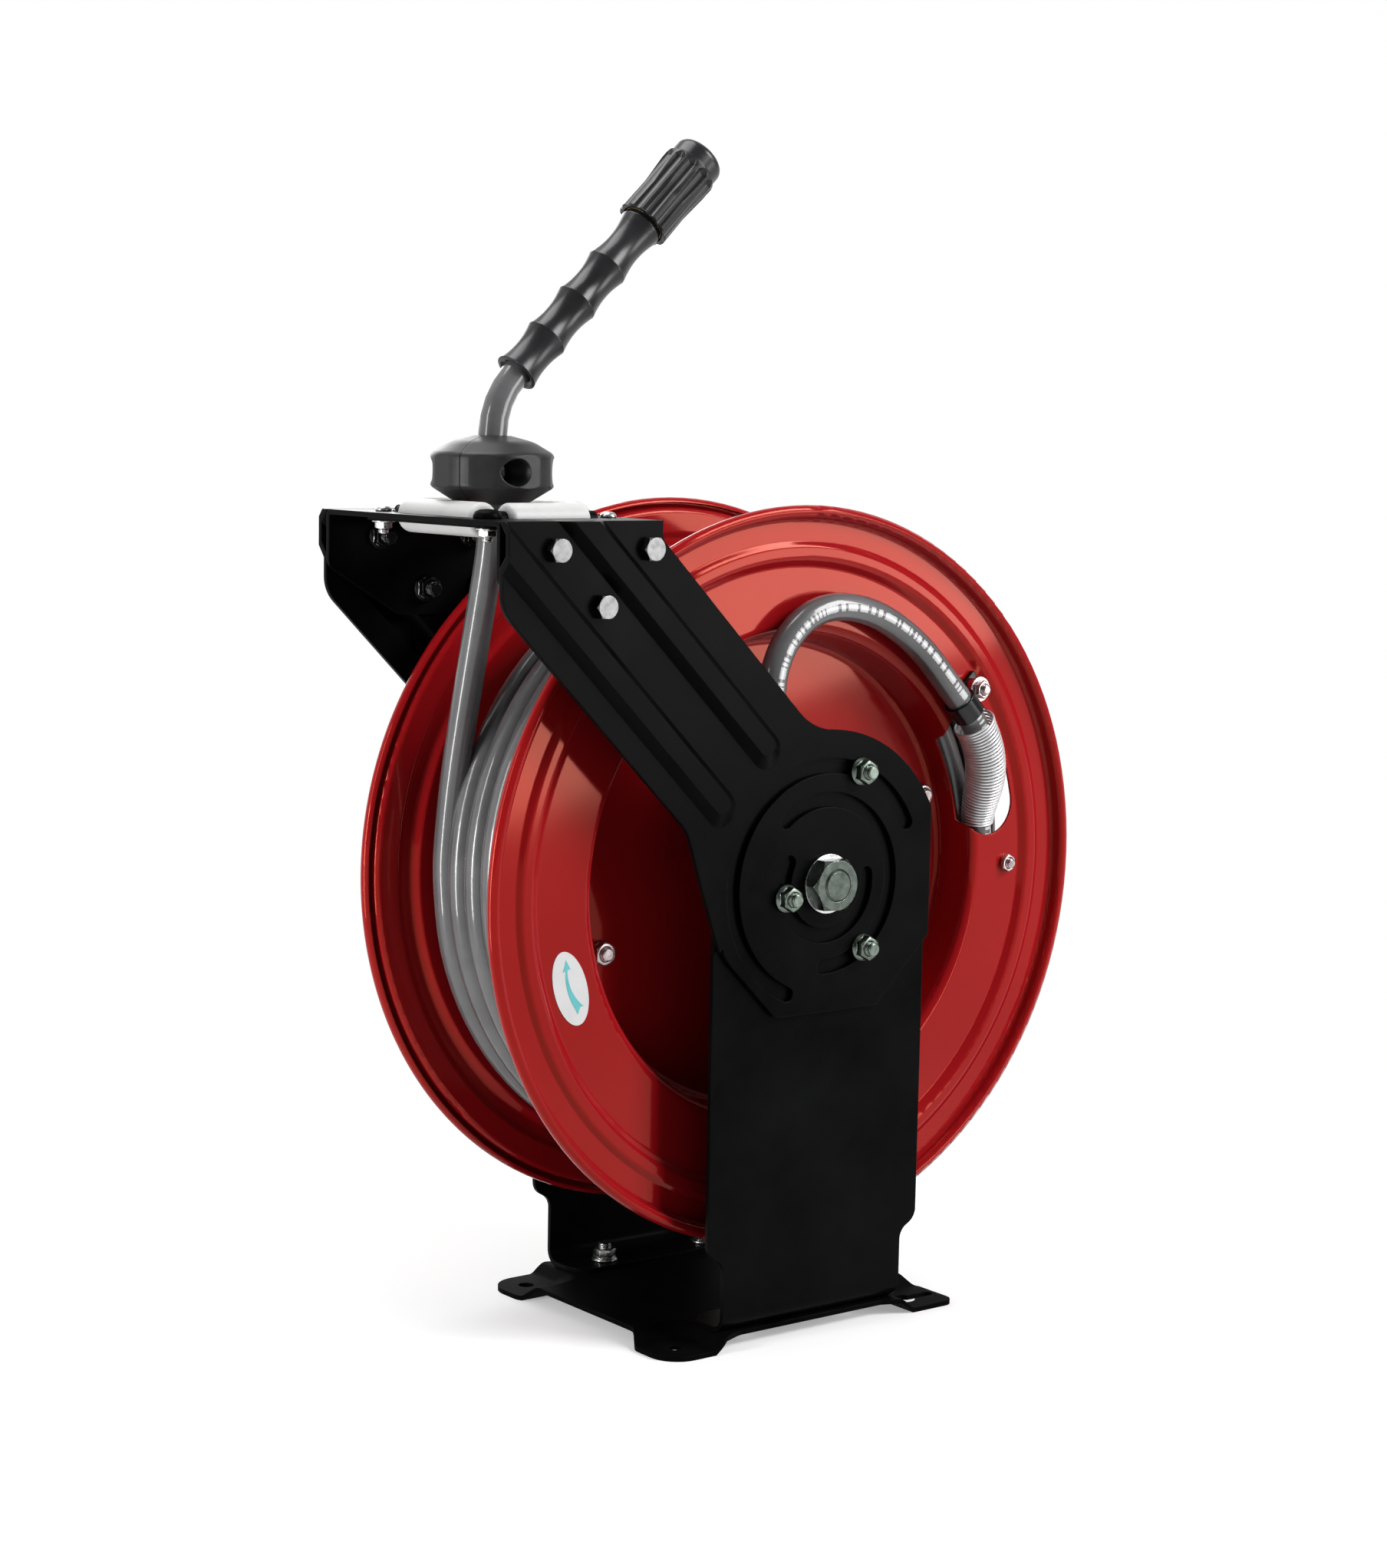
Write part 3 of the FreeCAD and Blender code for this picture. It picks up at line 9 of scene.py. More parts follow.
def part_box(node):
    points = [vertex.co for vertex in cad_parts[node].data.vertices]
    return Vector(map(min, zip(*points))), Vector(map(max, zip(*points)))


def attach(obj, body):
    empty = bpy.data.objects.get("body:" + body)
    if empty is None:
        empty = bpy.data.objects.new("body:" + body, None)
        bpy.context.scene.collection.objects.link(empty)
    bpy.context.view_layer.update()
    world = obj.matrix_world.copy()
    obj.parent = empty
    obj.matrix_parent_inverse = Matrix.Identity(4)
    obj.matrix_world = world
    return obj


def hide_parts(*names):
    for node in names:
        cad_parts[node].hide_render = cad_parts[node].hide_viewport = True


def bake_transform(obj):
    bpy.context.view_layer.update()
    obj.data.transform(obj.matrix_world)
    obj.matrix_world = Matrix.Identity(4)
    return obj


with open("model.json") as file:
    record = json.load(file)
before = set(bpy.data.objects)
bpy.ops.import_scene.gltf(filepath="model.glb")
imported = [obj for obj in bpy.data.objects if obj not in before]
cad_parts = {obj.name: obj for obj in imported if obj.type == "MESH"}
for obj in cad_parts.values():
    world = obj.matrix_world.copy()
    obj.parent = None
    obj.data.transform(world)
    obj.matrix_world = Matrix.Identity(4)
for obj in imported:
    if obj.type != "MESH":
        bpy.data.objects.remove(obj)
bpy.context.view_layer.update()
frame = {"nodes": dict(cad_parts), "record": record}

# Spring-rewind hose reel. Metres, +X right, +Y to the back, +Z up, floor at z 0.

MM = 0.001
AXLE_Z = sum(corner.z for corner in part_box("main_shaft")) / 2
Z = Vector((0, 0, 1))
BACK = Vector((0, 1, 0))
FRONT = Vector((0, -1, 0))

# Points a turn on the drum. An order 3 spline through them runs inside their circle by the share.
POINTS_PER_TURN = 24
SPLINE_SHARE = 0.75 + 0.25 * math.cos(2 * math.pi / POINTS_PER_TURN)

# Hose: outer layer on the drum, run up to the rollers, bend into the grip
HOSE_R = 8.5 * MM
WIND_R = 181.5 * MM
WIND_PITCH = 17.6 * MM
WIND_TURNS = 5.25
EXIT_ANGLE = 180
EXIT_Y = 43 * MM
TAIL_POINTS = 3
TAIL_DIP = 0.9 * MM
STOP_X = -180 * MM
STOP_LOW = 502 * MM
BEND_Z = 562 * MM
BEND_REACH = 20 * MM
GRIP_END = 112 * MM

# Lead hose, straight from OUTLET_R to RISE_R as it leaves the fitting
OUTLET_ANGLE = 106.7
OUTLET_Y = -74 * MM
OUTLET_R = 52 * MM
RISE_R = 107.5 * MM
# Its way over the front disc in millimetres, as x, y and height over the axle
LEAD_WAY = [(-23, -73, 141), (6, -72.2, 165), (48, -72.2, 163), (88, -72.2, 141), (117, -72.2, 111),
            (141, -72.2, 86), (156, -67, 58)]
# From where it lies on the drum back up to the last point before the slot
DIVE = Vector((-1 * MM, 0, 18.5 * MM))

# Lower layer, which starts on the drum at ENTRY_ANGLE and LOWER_Y
LOWER_R = 162.3 * MM
LOWER_Y = -52 * MM
ENTRY_ANGLE = 3.0
# Each turn lies flat as far as STEP_FROM, then steps over to the next place within STEP_LONG of a turn.
LOWER_STEPS = 6
STEP_FROM = 0.55
STEP_LONG = 0.22

# Line of uneven white marks along the lead hose, which stops inside the bend guard. Its width and how far
# its edges stray are shares of the way round, and noise over MARK_OVER gives a mark.
LINE_WIDTH = 0.085
LINE_STRAY = 0.05
LINE_END = 440 * MM
MARK_LENGTH = 3 * MM
MARK_OVER = 0.46
# Stretches the hose's UV map, so that patterns are about as fine round the hose as along it
PATTERN_SCALE = (16.0, 500.0, 1.0)

# Bend guard: open mouth at its top, drawn in to the hose where it dives through the slot
GUARD_R = 12.3 * MM
GUARD_END_R = 9.5 * MM
GUARD_WIRE_R = 0.8 * MM
GUARD_PITCH = 2.35 * MM
GUARD_FIRST = 90 * MM
GUARD_LAST = 12 * MM
GUARD_STEPS = 26
MOUTH_FLARE = 0.8 * MM
MOUTH_SHARE = 1 / 12

# What is smaller than this in a CAD node is a lone sliver of a triangle.
SMALLEST_SOLID = 1.5 * MM


# Mesh helpers


def deselect():
    if bpy.context.object and bpy.context.object.mode != "OBJECT":
        bpy.ops.object.mode_set(mode="OBJECT")
    bpy.ops.object.select_all(action="DESELECT")


def pick(piece):
    deselect()
    piece.select_set(True)
    bpy.context.view_layer.objects.active = piece


def turned(name, profile, segments=48, closed=False):
    """Ring drawn out along +Z through (radius, height) points; closed joins the last to the first."""
    deselect()
    radius, height = profile[0]
    bpy.ops.mesh.primitive_circle_add(vertices=segments, radius=radius, location=(0, 0, height))
    piece = bpy.context.object
    piece.name = name
    bpy.ops.object.transform_apply(location=True, rotation=False, scale=False)
    bpy.ops.object.mode_set(mode="EDIT")
    bpy.ops.mesh.select_all(action="SELECT")
    if not closed:
        bpy.ops.mesh.edge_face_add()
    for next_radius, next_height in profile[1:]:
        step = (0, 0, next_height - height)
        bpy.ops.mesh.extrude_region_move(TRANSFORM_OT_translate={"value": step})
        share = next_radius / radius
        bpy.ops.transform.resize(value=(share, share, 1), center_override=(0, 0, next_height))
        radius, height = next_radius, next_height
    if closed:
        bpy.ops.mesh.select_all(action="SELECT")
        bpy.ops.mesh.remove_doubles(threshold=1e-6)
    bpy.ops.mesh.select_all(action="SELECT")
    bpy.ops.mesh.normals_make_consistent(inside=False)
    bpy.ops.object.mode_set(mode="OBJECT")
    return piece


def bevel(piece, width, angle=35):
    pick(piece)
    cut = piece.modifiers.new("edges", "BEVEL")
    cut.width = width
    cut.segments = 2
    cut.limit_method = "ANGLE"
    cut.angle_limit = math.radians(angle)
    cut.harden_normals = False
    bpy.ops.object.modifier_apply(modifier=cut.name)
    return piece


def smooth(piece, angle=35):
    pick(piece)
    bpy.ops.object.shade_smooth_by_angle(angle=math.radians(angle))
    return piece


def combined(first, second, operation):
    pick(first)
    cut = first.modifiers.new("combined", "BOOLEAN")
    cut.operation = operation
    cut.object = second
    cut.solver = "EXACT"
    bpy.ops.object.modifier_apply(modifier=cut.name)
    bpy.data.objects.remove(second)
    return first


def join(pieces, name):
    deselect()
    for piece in pieces:
        piece.select_set(True)
    bpy.context.view_layer.objects.active = pieces[0]
    if len(pieces) > 1:
        bpy.ops.object.join()
    pieces[0].name = name
    return pieces[0]


def placed(piece, base, way):
    """Turns a piece made along +Z so that it points along way, standing on base."""
    turn = Z.rotation_difference(Vector(way)).to_matrix().to_4x4()
    piece.data.transform(Matrix.Translation(base) @ turn)
    return piece


def copies(master, name, spots):
    """One joined piece holding the master at each (base, way)."""
    made = []
    for base, way in spots:
        other = master.copy()
        other.data = master.data.copy()
        bpy.context.scene.collection.objects.link(other)
        made.append(placed(other, base, way))
    bpy.data.objects.remove(master)
    return join(made, name)


def finish_as(piece, material, slot, body, *nodes):
    piece.data.materials.clear()
    piece.data.materials.append(material)
    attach(piece, body)
    if nodes:
        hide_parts(*nodes)
    return piece


def solids(node):
    """Lowest and highest corner of each separate solid of a CAD node."""
    mesh = frame["nodes"][node].data
    co = np.empty(len(mesh.vertices) * 3)
    mesh.vertices.foreach_get("co", co)
    co = co.reshape(-1, 3)
    welded = np.unique(np.round(co, 6), axis=0, return_inverse=True)[1].ravel()
    owner = list(range(welded.max() + 1))

    def root(i):
        while owner[i] != i:
            owner[i] = owner[owner[i]]
            i = owner[i]
        return i

    for face in mesh.polygons:
        a = root(welded[face.vertices[0]])
        for v in face.vertices[1:]:
            owner[root(welded[v])] = a
    groups = {}
    for i, w in enumerate(welded):
        groups.setdefault(root(w), []).append(i)
    boxes = [(Vector(co[g].min(0)), Vector(co[g].max(0))) for g in groups.values()]
    boxes = [(low, high) for low, high in boxes if (high - low).length > SMALLEST_SOLID]
    return sorted(boxes, key=lambda b: tuple(round(v, 4) for v in b[0]))


# Material helpers


def add_node(tree, kind, inputs=None, **settings):
    made = tree.nodes.new("ShaderNode" + kind)
    for key, value in settings.items():
        setattr(made, key, value)
    for key, value in (inputs or {}).items():
        if isinstance(value, bpy.types.NodeSocket):
            tree.links.new(value, made.inputs[key])
        else:
            made.inputs[key].default_value = value
    return made


def new_group(name, inputs, outputs):
    tree = bpy.data.node_groups.new(name, "ShaderNodeTree")
    for label, value in inputs.items():
        made = tree.interface.new_socket(name=label, in_out="INPUT", socket_type="NodeSocketFloat")
        made.default_value = value
    for label, kind in outputs.items():
        tree.interface.new_socket(name=label, in_out="OUTPUT", socket_type="NodeSocket" + kind)
    return tree, tree.nodes.new("NodeGroupInput"), tree.nodes.new("NodeGroupOutput")


def mottle_group():
    """Broad cloudy variation and fine grain, both from 0 to 1."""
    tree, start, end = new_group("mottle", {"Scale": 30.0}, {"Broad": "Float", "Fine": "Float"})
    place = add_node(tree, "TexCoord").outputs["Object"]
    broad = add_node(tree, "TexNoise", {"Vector": place, "Scale": start.outputs["Scale"], "Detail": 4.0,
                                        "Roughness": 0.6})
    fine_scale = add_node(tree, "Math", {0: start.outputs["Scale"], 1: 26.0}, operation="MULTIPLY")
    fine = add_node(tree, "TexNoise", {"Vector": place, "Scale": fine_scale.outputs[0], "Detail": 2.0})
    tree.links.new(broad.outputs["Fac"], end.inputs["Broad"])
    tree.links.new(fine.outputs["Fac"], end.inputs["Fine"])
    return tree


def edge_group():
    """Normal rounded over sharp edges, and a mask of those edges broken up by noise, for edge wear and
    painted edge highlights.
    """
    tree, start, end = new_group("soft_edges", {"Radius": 0.001, "Breakup": 60.0},
                                 {"Normal": "Vector", "Edge": "Float"})
    rounded = add_node(tree, "Bevel", {"Radius": start.outputs["Radius"]}, samples=6)
    plain = add_node(tree, "NewGeometry").outputs["Normal"]
    alike = add_node(tree, "VectorMath", {0: rounded.outputs["Normal"], 1: plain},
                     operation="DOT_PRODUCT")
    edge = add_node(tree, "MapRange", {"Value": alike.outputs["Value"], "From Min": 0.995,
                                       "From Max": 0.85})
    place = add_node(tree, "TexCoord").outputs["Object"]
    noise = add_node(tree, "TexNoise", {"Vector": place, "Scale": start.outputs["Breakup"], "Detail": 4.0})
    broken = add_node(tree, "MapRange", {"Value": noise.outputs["Fac"], "From Min": 0.42,
                                         "From Max": 0.62})
    both = add_node(tree, "Math", {0: edge.outputs["Result"], 1: broken.outputs["Result"]},
                    operation="MULTIPLY")
    tree.links.new(rounded.outputs["Normal"], end.inputs["Normal"])
    tree.links.new(both.outputs[0], end.inputs["Edge"])
    return tree


MOTTLE = mottle_group()
SOFT_EDGES = edge_group()


class Finish:
    """A material with mottled colour and roughness, fine relief and softened edges."""

    def __init__(self, name, dark, light, rough, scale, edge_radius=0.0008, edge_wear_and_highlight=0.0,
                 edge_wear_and_highlight_colour=(0.3, 0.3, 0.3), relief=0.05, depth=0.0002):
        self.material = bpy.data.materials.new(name)
        self.material.use_nodes = True
        self.tree = self.material.node_tree
        self.shader = self.tree.nodes["Principled BSDF"]
        mottle = self.node("Group", {"Scale": scale}, node_tree=MOTTLE)
        edges = self.node("Group", {"Radius": edge_radius, "Breakup": scale * 3}, node_tree=SOFT_EDGES)
        broad = self.node("MapRange", {"Value": mottle.outputs["Broad"], "From Min": 0.3,
                                       "From Max": 0.7}).outputs["Result"]
        self.colour = self.mix(broad, (*dark, 1), (*light, 1))
        # Edge colour over the edge mask: wear on most finishes, and a painted highlight along edges on the
        # black paint.
        if edge_wear_and_highlight:
            wear_and_highlight_share = self.node("Math", {0: edges.outputs["Edge"], 1: edge_wear_and_highlight}, operation="MULTIPLY")
            self.colour = self.mix(wear_and_highlight_share.outputs[0], self.colour, (*edge_wear_and_highlight_colour, 1))
        self.rough = self.node("MapRange", {"Value": broad, "To Min": rough[0],
                                            "To Max": rough[1]}).outputs["Result"]
        self.bump = self.node("Bump", {"Strength": relief, "Distance": depth,
                                       "Height": mottle.outputs["Fine"],
                                       "Normal": edges.outputs["Normal"]})

    def node(self, kind, inputs=None, **settings):
        return add_node(self.tree, kind, inputs, **settings)

    def mix(self, share, first, second):
        made = self.node("Mix", data_type="RGBA")
        for socket, value in ((made.inputs[0], share), (made.inputs[6], first), (made.inputs[7], second)):
            if isinstance(value, bpy.types.NodeSocket):
                self.tree.links.new(value, socket)
            else:
                socket.default_value = value
        return made.outputs[2]

    def done(self, **constants):
        """Links colour, roughness and relief to the shader and sets its plain values."""
        self.tree.links.new(self.colour, self.shader.inputs["Base Color"])
        self.tree.links.new(self.rough, self.shader.inputs["Roughness"])
        self.tree.links.new(self.bump.outputs["Normal"], self.shader.inputs["Normal"])
        for key, value in constants.items():
            self.shader.inputs[key.replace("_", " ")].default_value = value
        return self.material


def black_paint(name, rough, gloss):
    """Black powder coat with an orange-peel skin, a faint grey mottle that paints a reflected sheen, and
    grey edge lines that paint highlights.
    """
    # The light grey of the mottle paints a reflected sheen, and the grey edge colour paints highlights
    # along edges.
    coat = Finish(name, (0.0012, 0.0012, 0.0013), (0.0045, 0.0046, 0.005), rough, 14,
                  edge_radius=0.0009, edge_wear_and_highlight=0.6, edge_wear_and_highlight_colour=(0.022, 0.022, 0.024), relief=0.05)
    return coat.done(Specular_IOR_Level=gloss)


def red_paint():
    """Gloss red enamel over a bright primer, a little deeper in patches."""
    coat = Finish("red_paint", (0.31, 0.0055, 0.009), (0.36, 0.0075, 0.0105), (0.05, 0.11), 8,
                  edge_radius=0.001, edge_wear_and_highlight=0.1, edge_wear_and_highlight_colour=(0.45, 0.02, 0.02), relief=0.015,
                  depth=0.0001)
    return coat.done(Specular_IOR_Level=0.5, Specular_Tint=(1.0, 0.24, 0.14, 1.0))


def plated(name, dark, light, rough=(0.16, 0.34)):
    """Zinc plate, whose passivation gives it a cast of its own; the pink cast paints the reflection of the
    red discs.
    """
    plate = Finish(name, dark, light, rough, 190, edge_radius=0.0004, edge_wear_and_highlight=0.7,
                   edge_wear_and_highlight_colour=(0.92, 0.92, 0.92), relief=0.06, depth=0.00008)
    return plate.done(Metallic=1.0)


def steel():
    """Plain turned steel with oily darker patches."""
    bare = Finish("steel", (0.3, 0.3, 0.3), (0.5, 0.49, 0.47), (0.25, 0.42), 90, edge_radius=0.0005,
                  edge_wear_and_highlight=0.5, edge_wear_and_highlight_colour=(0.7, 0.7, 0.7), relief=0.08, depth=0.00008)
    return bare.done(Metallic=1.0)


def brass():
    """Machined brass, dulled in patches."""
    metal = Finish("brass", (0.52, 0.34, 0.12), (0.78, 0.56, 0.24), (0.2, 0.36), 80, edge_radius=0.0004,
                   edge_wear_and_highlight=0.6, edge_wear_and_highlight_colour=(0.9, 0.7, 0.36), relief=0.06, depth=0.00008)
    return metal.done(Metallic=1.0)


def bronze():
    """Sintered bronze with a fine open grain."""
    metal = Finish("bronze", (0.34, 0.2, 0.09), (0.52, 0.33, 0.16), (0.38, 0.55), 120, edge_radius=0.0004,
                   edge_wear_and_highlight=0.4, edge_wear_and_highlight_colour=(0.7, 0.48, 0.26), relief=0.25, depth=0.00012)
    return metal.done(Metallic=1.0)


def case_paint():
    """Black stoved paint on the spring case."""
    coat = Finish("case_paint", (0.003, 0.003, 0.0033), (0.008, 0.008, 0.009), (0.34, 0.5), 26,
                  edge_radius=0.001, edge_wear_and_highlight=0.3, edge_wear_and_highlight_colour=(0.04, 0.04, 0.04), relief=0.1)
    return coat.done(Specular_IOR_Level=0.25)


def chrome():
    """Bright plated spring wire."""
    wire = Finish("chrome", (0.74, 0.75, 0.76), (0.86, 0.86, 0.86), (0.3, 0.42), 140, edge_radius=0.0002,
                  relief=0.02, depth=0.00004)
    return wire.done(Metallic=0.6)


def roller_plastic():
    """Off-white nylon moulding with a soft skin and faint soiling."""
    skin = Finish("roller_plastic", (0.6, 0.6, 0.595), (0.72, 0.72, 0.71), (0.34, 0.48), 38,
                  edge_radius=0.0008, edge_wear_and_highlight=0.35, edge_wear_and_highlight_colour=(0.8, 0.8, 0.79), relief=0.12)
    return skin.done(Specular_IOR_Level=0.4)


def moulded_rubber(name, dark, light, rough, relief, wear=0.3):
    """Moulded rubber with a slightly dusty skin and lighter rubbed edges."""
    skin = Finish(name, dark, light, rough, 30, edge_radius=0.0009, edge_wear_and_highlight=wear,
                  edge_wear_and_highlight_colour=(0.03, 0.03, 0.032), relief=relief, depth=0.0001)
    return skin.done(Specular_IOR_Level=0.35)


def seal_rubber():
    """Black seal rubber, oiled."""
    skin = Finish("seal_rubber", (0.008, 0.008, 0.008), (0.016, 0.016, 0.016), (0.3, 0.45), 90,
                  relief=0.1)
    return skin.done(Specular_IOR_Level=0.5)


def label_film():
    """White printed film with a faint sheen."""
    film = Finish("label_film", (0.74, 0.74, 0.74), (0.82, 0.82, 0.82), (0.3, 0.42), 60, edge_radius=0.0002,
                  relief=0.04, depth=0.00005)
    return film.done(Specular_IOR_Level=0.4)


def arrow_ink():
    """Teal ink, slightly uneven."""
    ink = Finish("arrow_ink", (0.1, 0.5, 0.54), (0.15, 0.62, 0.64), (0.35, 0.45), 90, edge_radius=0.0001,
                 relief=0.03, depth=0.00003)
    return ink.done()


def white_marks(skin, around, along, place):
    """Mask of a ragged line along the middle of the UV map, broken into marks of uneven length."""

    def calculated(operation, *values):
        return skin.node("Math", dict(enumerate(values)), operation=operation).outputs[0]

    ragged = skin.node("TexNoise", {"Vector": place, "Scale": 3.0, "Detail": 3.0}).outputs["Fac"]
    shifted = calculated("MULTIPLY_ADD", calculated("SUBTRACT", ragged, 0.5), LINE_STRAY, around)
    off_line = calculated("ABSOLUTE", calculated("SUBTRACT", shifted, 0.5))
    on_line = calculated("LESS_THAN", off_line, LINE_WIDTH / 2)
    lengthwise = skin.node("CombineXYZ", {"X": along}).outputs["Vector"]
    uneven = skin.node("TexNoise", {"Vector": lengthwise, "Scale": 1 / MARK_LENGTH, "Detail": 0.0})
    dash = calculated("GREATER_THAN", uneven.outputs["Fac"], MARK_OVER)
    before_guard = calculated("LESS_THAN", along, LINE_END)
    return calculated("MULTIPLY", calculated("MULTIPLY", on_line, dash), before_guard)


def hose_cover(name, marked):
    """Smooth grey hose cover with cloth-marked skin, and a broken white line where it is marked."""
    skin = Finish(name, (0.085, 0.085, 0.088), (0.128, 0.128, 0.132), (0.3, 0.4), 34,
                  edge_radius=0.0003, relief=0.12, depth=0.00012)
    uv = skin.node("UVMap", uv_map="along").outputs["UV"]
    axes = skin.node("SeparateXYZ", {"Vector": uv})
    place = skin.node("VectorMath", {0: uv, 1: PATTERN_SCALE}, operation="MULTIPLY").outputs["Vector"]
    weave = skin.node("TexWave", {"Vector": place, "Scale": 1.0, "Distortion": 1.5, "Detail": 2.0})
    skin.tree.links.new(weave.outputs["Fac"], skin.bump.inputs["Height"])
    if marked:
        marks = white_marks(skin, axes.outputs["X"], axes.outputs["Y"], place)
        skin.colour = skin.mix(marks, skin.colour, (0.62, 0.62, 0.62, 1))
    return skin.done(Specular_IOR_Level=0.35, Coat_Weight=0.8, Coat_Roughness=0.09)


# Finishes

PLATE = {
    "zinc": plated("zinc", (0.4, 0.41, 0.4), (0.66, 0.66, 0.65)),
    "green_zinc": plated("green_zinc", (0.07, 0.09, 0.076), (0.2, 0.24, 0.2), (0.24, 0.42)),
    "axle_zinc": plated("axle_zinc", (0.045, 0.055, 0.048), (0.11, 0.13, 0.112), (0.3, 0.46)),
    # The next one's pink cast paints the red discs' reflection in the zinc near them.
    "zinc_painted_red_reflection": plated("zinc_painted_red_reflection", (0.3, 0.23, 0.23), (0.58, 0.48, 0.48)),
    "bolt_zinc": plated("bolt_zinc", (0.08, 0.08, 0.08), (0.22, 0.22, 0.22), (0.3, 0.4)),
    "blackened": plated("blackened", (0.004, 0.004, 0.0045), (0.014, 0.014, 0.016), (0.32, 0.5)),
}

FINISHES = {
    "black_paint": black_paint("black_paint", (0.24, 0.4), 0.025),
    "red_paint": red_paint(),
    "zinc": PLATE["zinc"],
    "steel": steel(),
    "brass": brass(),
    "bronze": bronze(),
    "case_paint": case_paint(),
    "chrome": chrome(),
    "roller_plastic": roller_plastic(),
    "black_rubber": moulded_rubber("black_rubber", (0.01, 0.01, 0.011), (0.026, 0.026, 0.028),
                                   (0.32, 0.48), 0.12),
    "seal_rubber": seal_rubber(),
    "hose_rubber": hose_cover("hose_cover", False),
    "label": label_film(),
}

GRIP_RUBBER = moulded_rubber("grip_rubber", (0.012, 0.012, 0.013), (0.022, 0.022, 0.024),
                             (0.22, 0.3), 0.03, wear=0.0)
STOP_RUBBER = moulded_rubber("stop_rubber", (0.008, 0.008, 0.009), (0.019, 0.019, 0.02),
                             (0.34, 0.5), 0.35)
CLIP_RUBBER = moulded_rubber("clip_rubber", (0.004, 0.004, 0.004), (0.009, 0.009, 0.01),
                             (0.14, 0.22), 0.03, wear=0.0)

# Nodes that don't have the plain finish of their slot
OWN_FINISH = {
    "base_plate": black_paint("base_paint", (0.5, 0.62), 0.01),
    "hose_clip": CLIP_RUBBER,
    "stop_front_half": STOP_RUBBER,
    "stop_back_half": STOP_RUBBER,
    "arm_bolts": PLATE["bolt_zinc"],
    "shaft_nuts": PLATE["axle_zinc"],
    "main_shaft": PLATE["axle_zinc"],
    # Zinc on the drum with a pink cast that paints the red discs' reflection
    "hub_screws": PLATE["zinc_painted_red_reflection"],
    "tie_rods": PLATE["zinc_painted_red_reflection"],
    "clamp_bolts": PLATE["green_zinc"],
    "grip_sleeve": GRIP_RUBBER,
    "end_cap": GRIP_RUBBER,
}


def finish_cad_nodes():
    for part in frame["record"]["subparts"]:
        finish = OWN_FINISH.get(part["node"], FINISHES[part["material_slot"]])
        for place in frame["nodes"][part["node"]].material_slots:
            place.material = finish


# Hose


def on_drum(radius, degrees, y):
    a = math.radians(degrees)
    return Vector((radius * math.cos(a), y, AXLE_Z + radius * math.sin(a)))


def smooth_route(points, resolution):
    """Points along an order 3 spline through the route's points."""
    curve = bpy.data.curves.new("route", "CURVE")
    curve.dimensions = "3D"
    curve.resolution_u = resolution
    spline = curve.splines.new("NURBS")
    spline.points.add(len(points) - 1)
    for target, co in zip(spline.points, points):
        target.co = (*co, 1)
    spline.order_u = 3
    spline.use_endpoint_u = True
    carrier = bpy.data.objects.new("route", curve)
    mesh = bpy.data.meshes.new_from_object(carrier)
    made = [v.co.copy() for v in mesh.vertices]
    bpy.data.meshes.remove(mesh)
    bpy.data.objects.remove(carrier)
    bpy.data.curves.remove(curve)
    return made


def frames_along(route, side):
    """Tangent, side and up at each point, turned as little as possible along the way."""
    made = []
    for i, point in enumerate(route):
        ahead = route[min(i + 1, len(route) - 1)]
        behind = route[max(i - 1, 0)]
        tangent = (ahead - behind).normalized()
        side = (side - tangent * side.dot(tangent)).normalized()
        made.append((point, tangent, side, tangent.cross(side)))
    return made


def lengths_along(route):
    """Distance of each point from the first, along the route."""
    made = [0.0]
    for a, b in zip(route[:-1], route[1:]):
        made.append(made[-1] + (b - a).length)
    return made


def round_tube(name, route, radius, side, sides=20):
    """Closed tube of quads whose UV map holds the share round it and the metres along it."""
    verts = []
    for point, tangent, across, up in frames_along(route, side):
        for k in range(sides):
            a = 2 * math.pi * k / sides
            verts.append(point + (across * math.cos(a) + up * math.sin(a)) * radius)
    lengths = lengths_along(route)
    faces = []
    uvs = []
    for i in range(len(route) - 1):
        for k in range(sides):
            n = (k + 1) % sides
            faces.append((i * sides + k, i * sides + n, (i + 1) * sides + n, (i + 1) * sides + k))
            u0, u1 = k / sides, (k + 1) / sides
            uvs += [(u0, lengths[i]), (u1, lengths[i]), (u1, lengths[i + 1]), (u0, lengths[i + 1])]
    last = (len(route) - 1) * sides
    faces.append(tuple(reversed(range(sides))))
    faces.append(tuple(range(last, last + sides)))
    uvs += [(0.25, 0.0)] * sides + [(0.25, lengths[-1])] * sides
    mesh = bpy.data.meshes.new(name)
    mesh.from_pydata([tuple(v) for v in verts], [], faces)
    layer = mesh.uv_layers.new(name="along")
    for loop, uv in zip(layer.data, uvs):
        loop.uv = uv
    piece = bpy.data.objects.new(name, mesh)
    bpy.context.scene.collection.objects.link(piece)
    return smooth(piece, 50)


def end_axis(distance):
    """Point on the slanted end of the hose, measured from where the bend stops."""
    c = math.sqrt(0.5)
    return Vector((STOP_X + (BEND_REACH + distance) * c, 0, BEND_Z + (BEND_REACH + distance) * c))


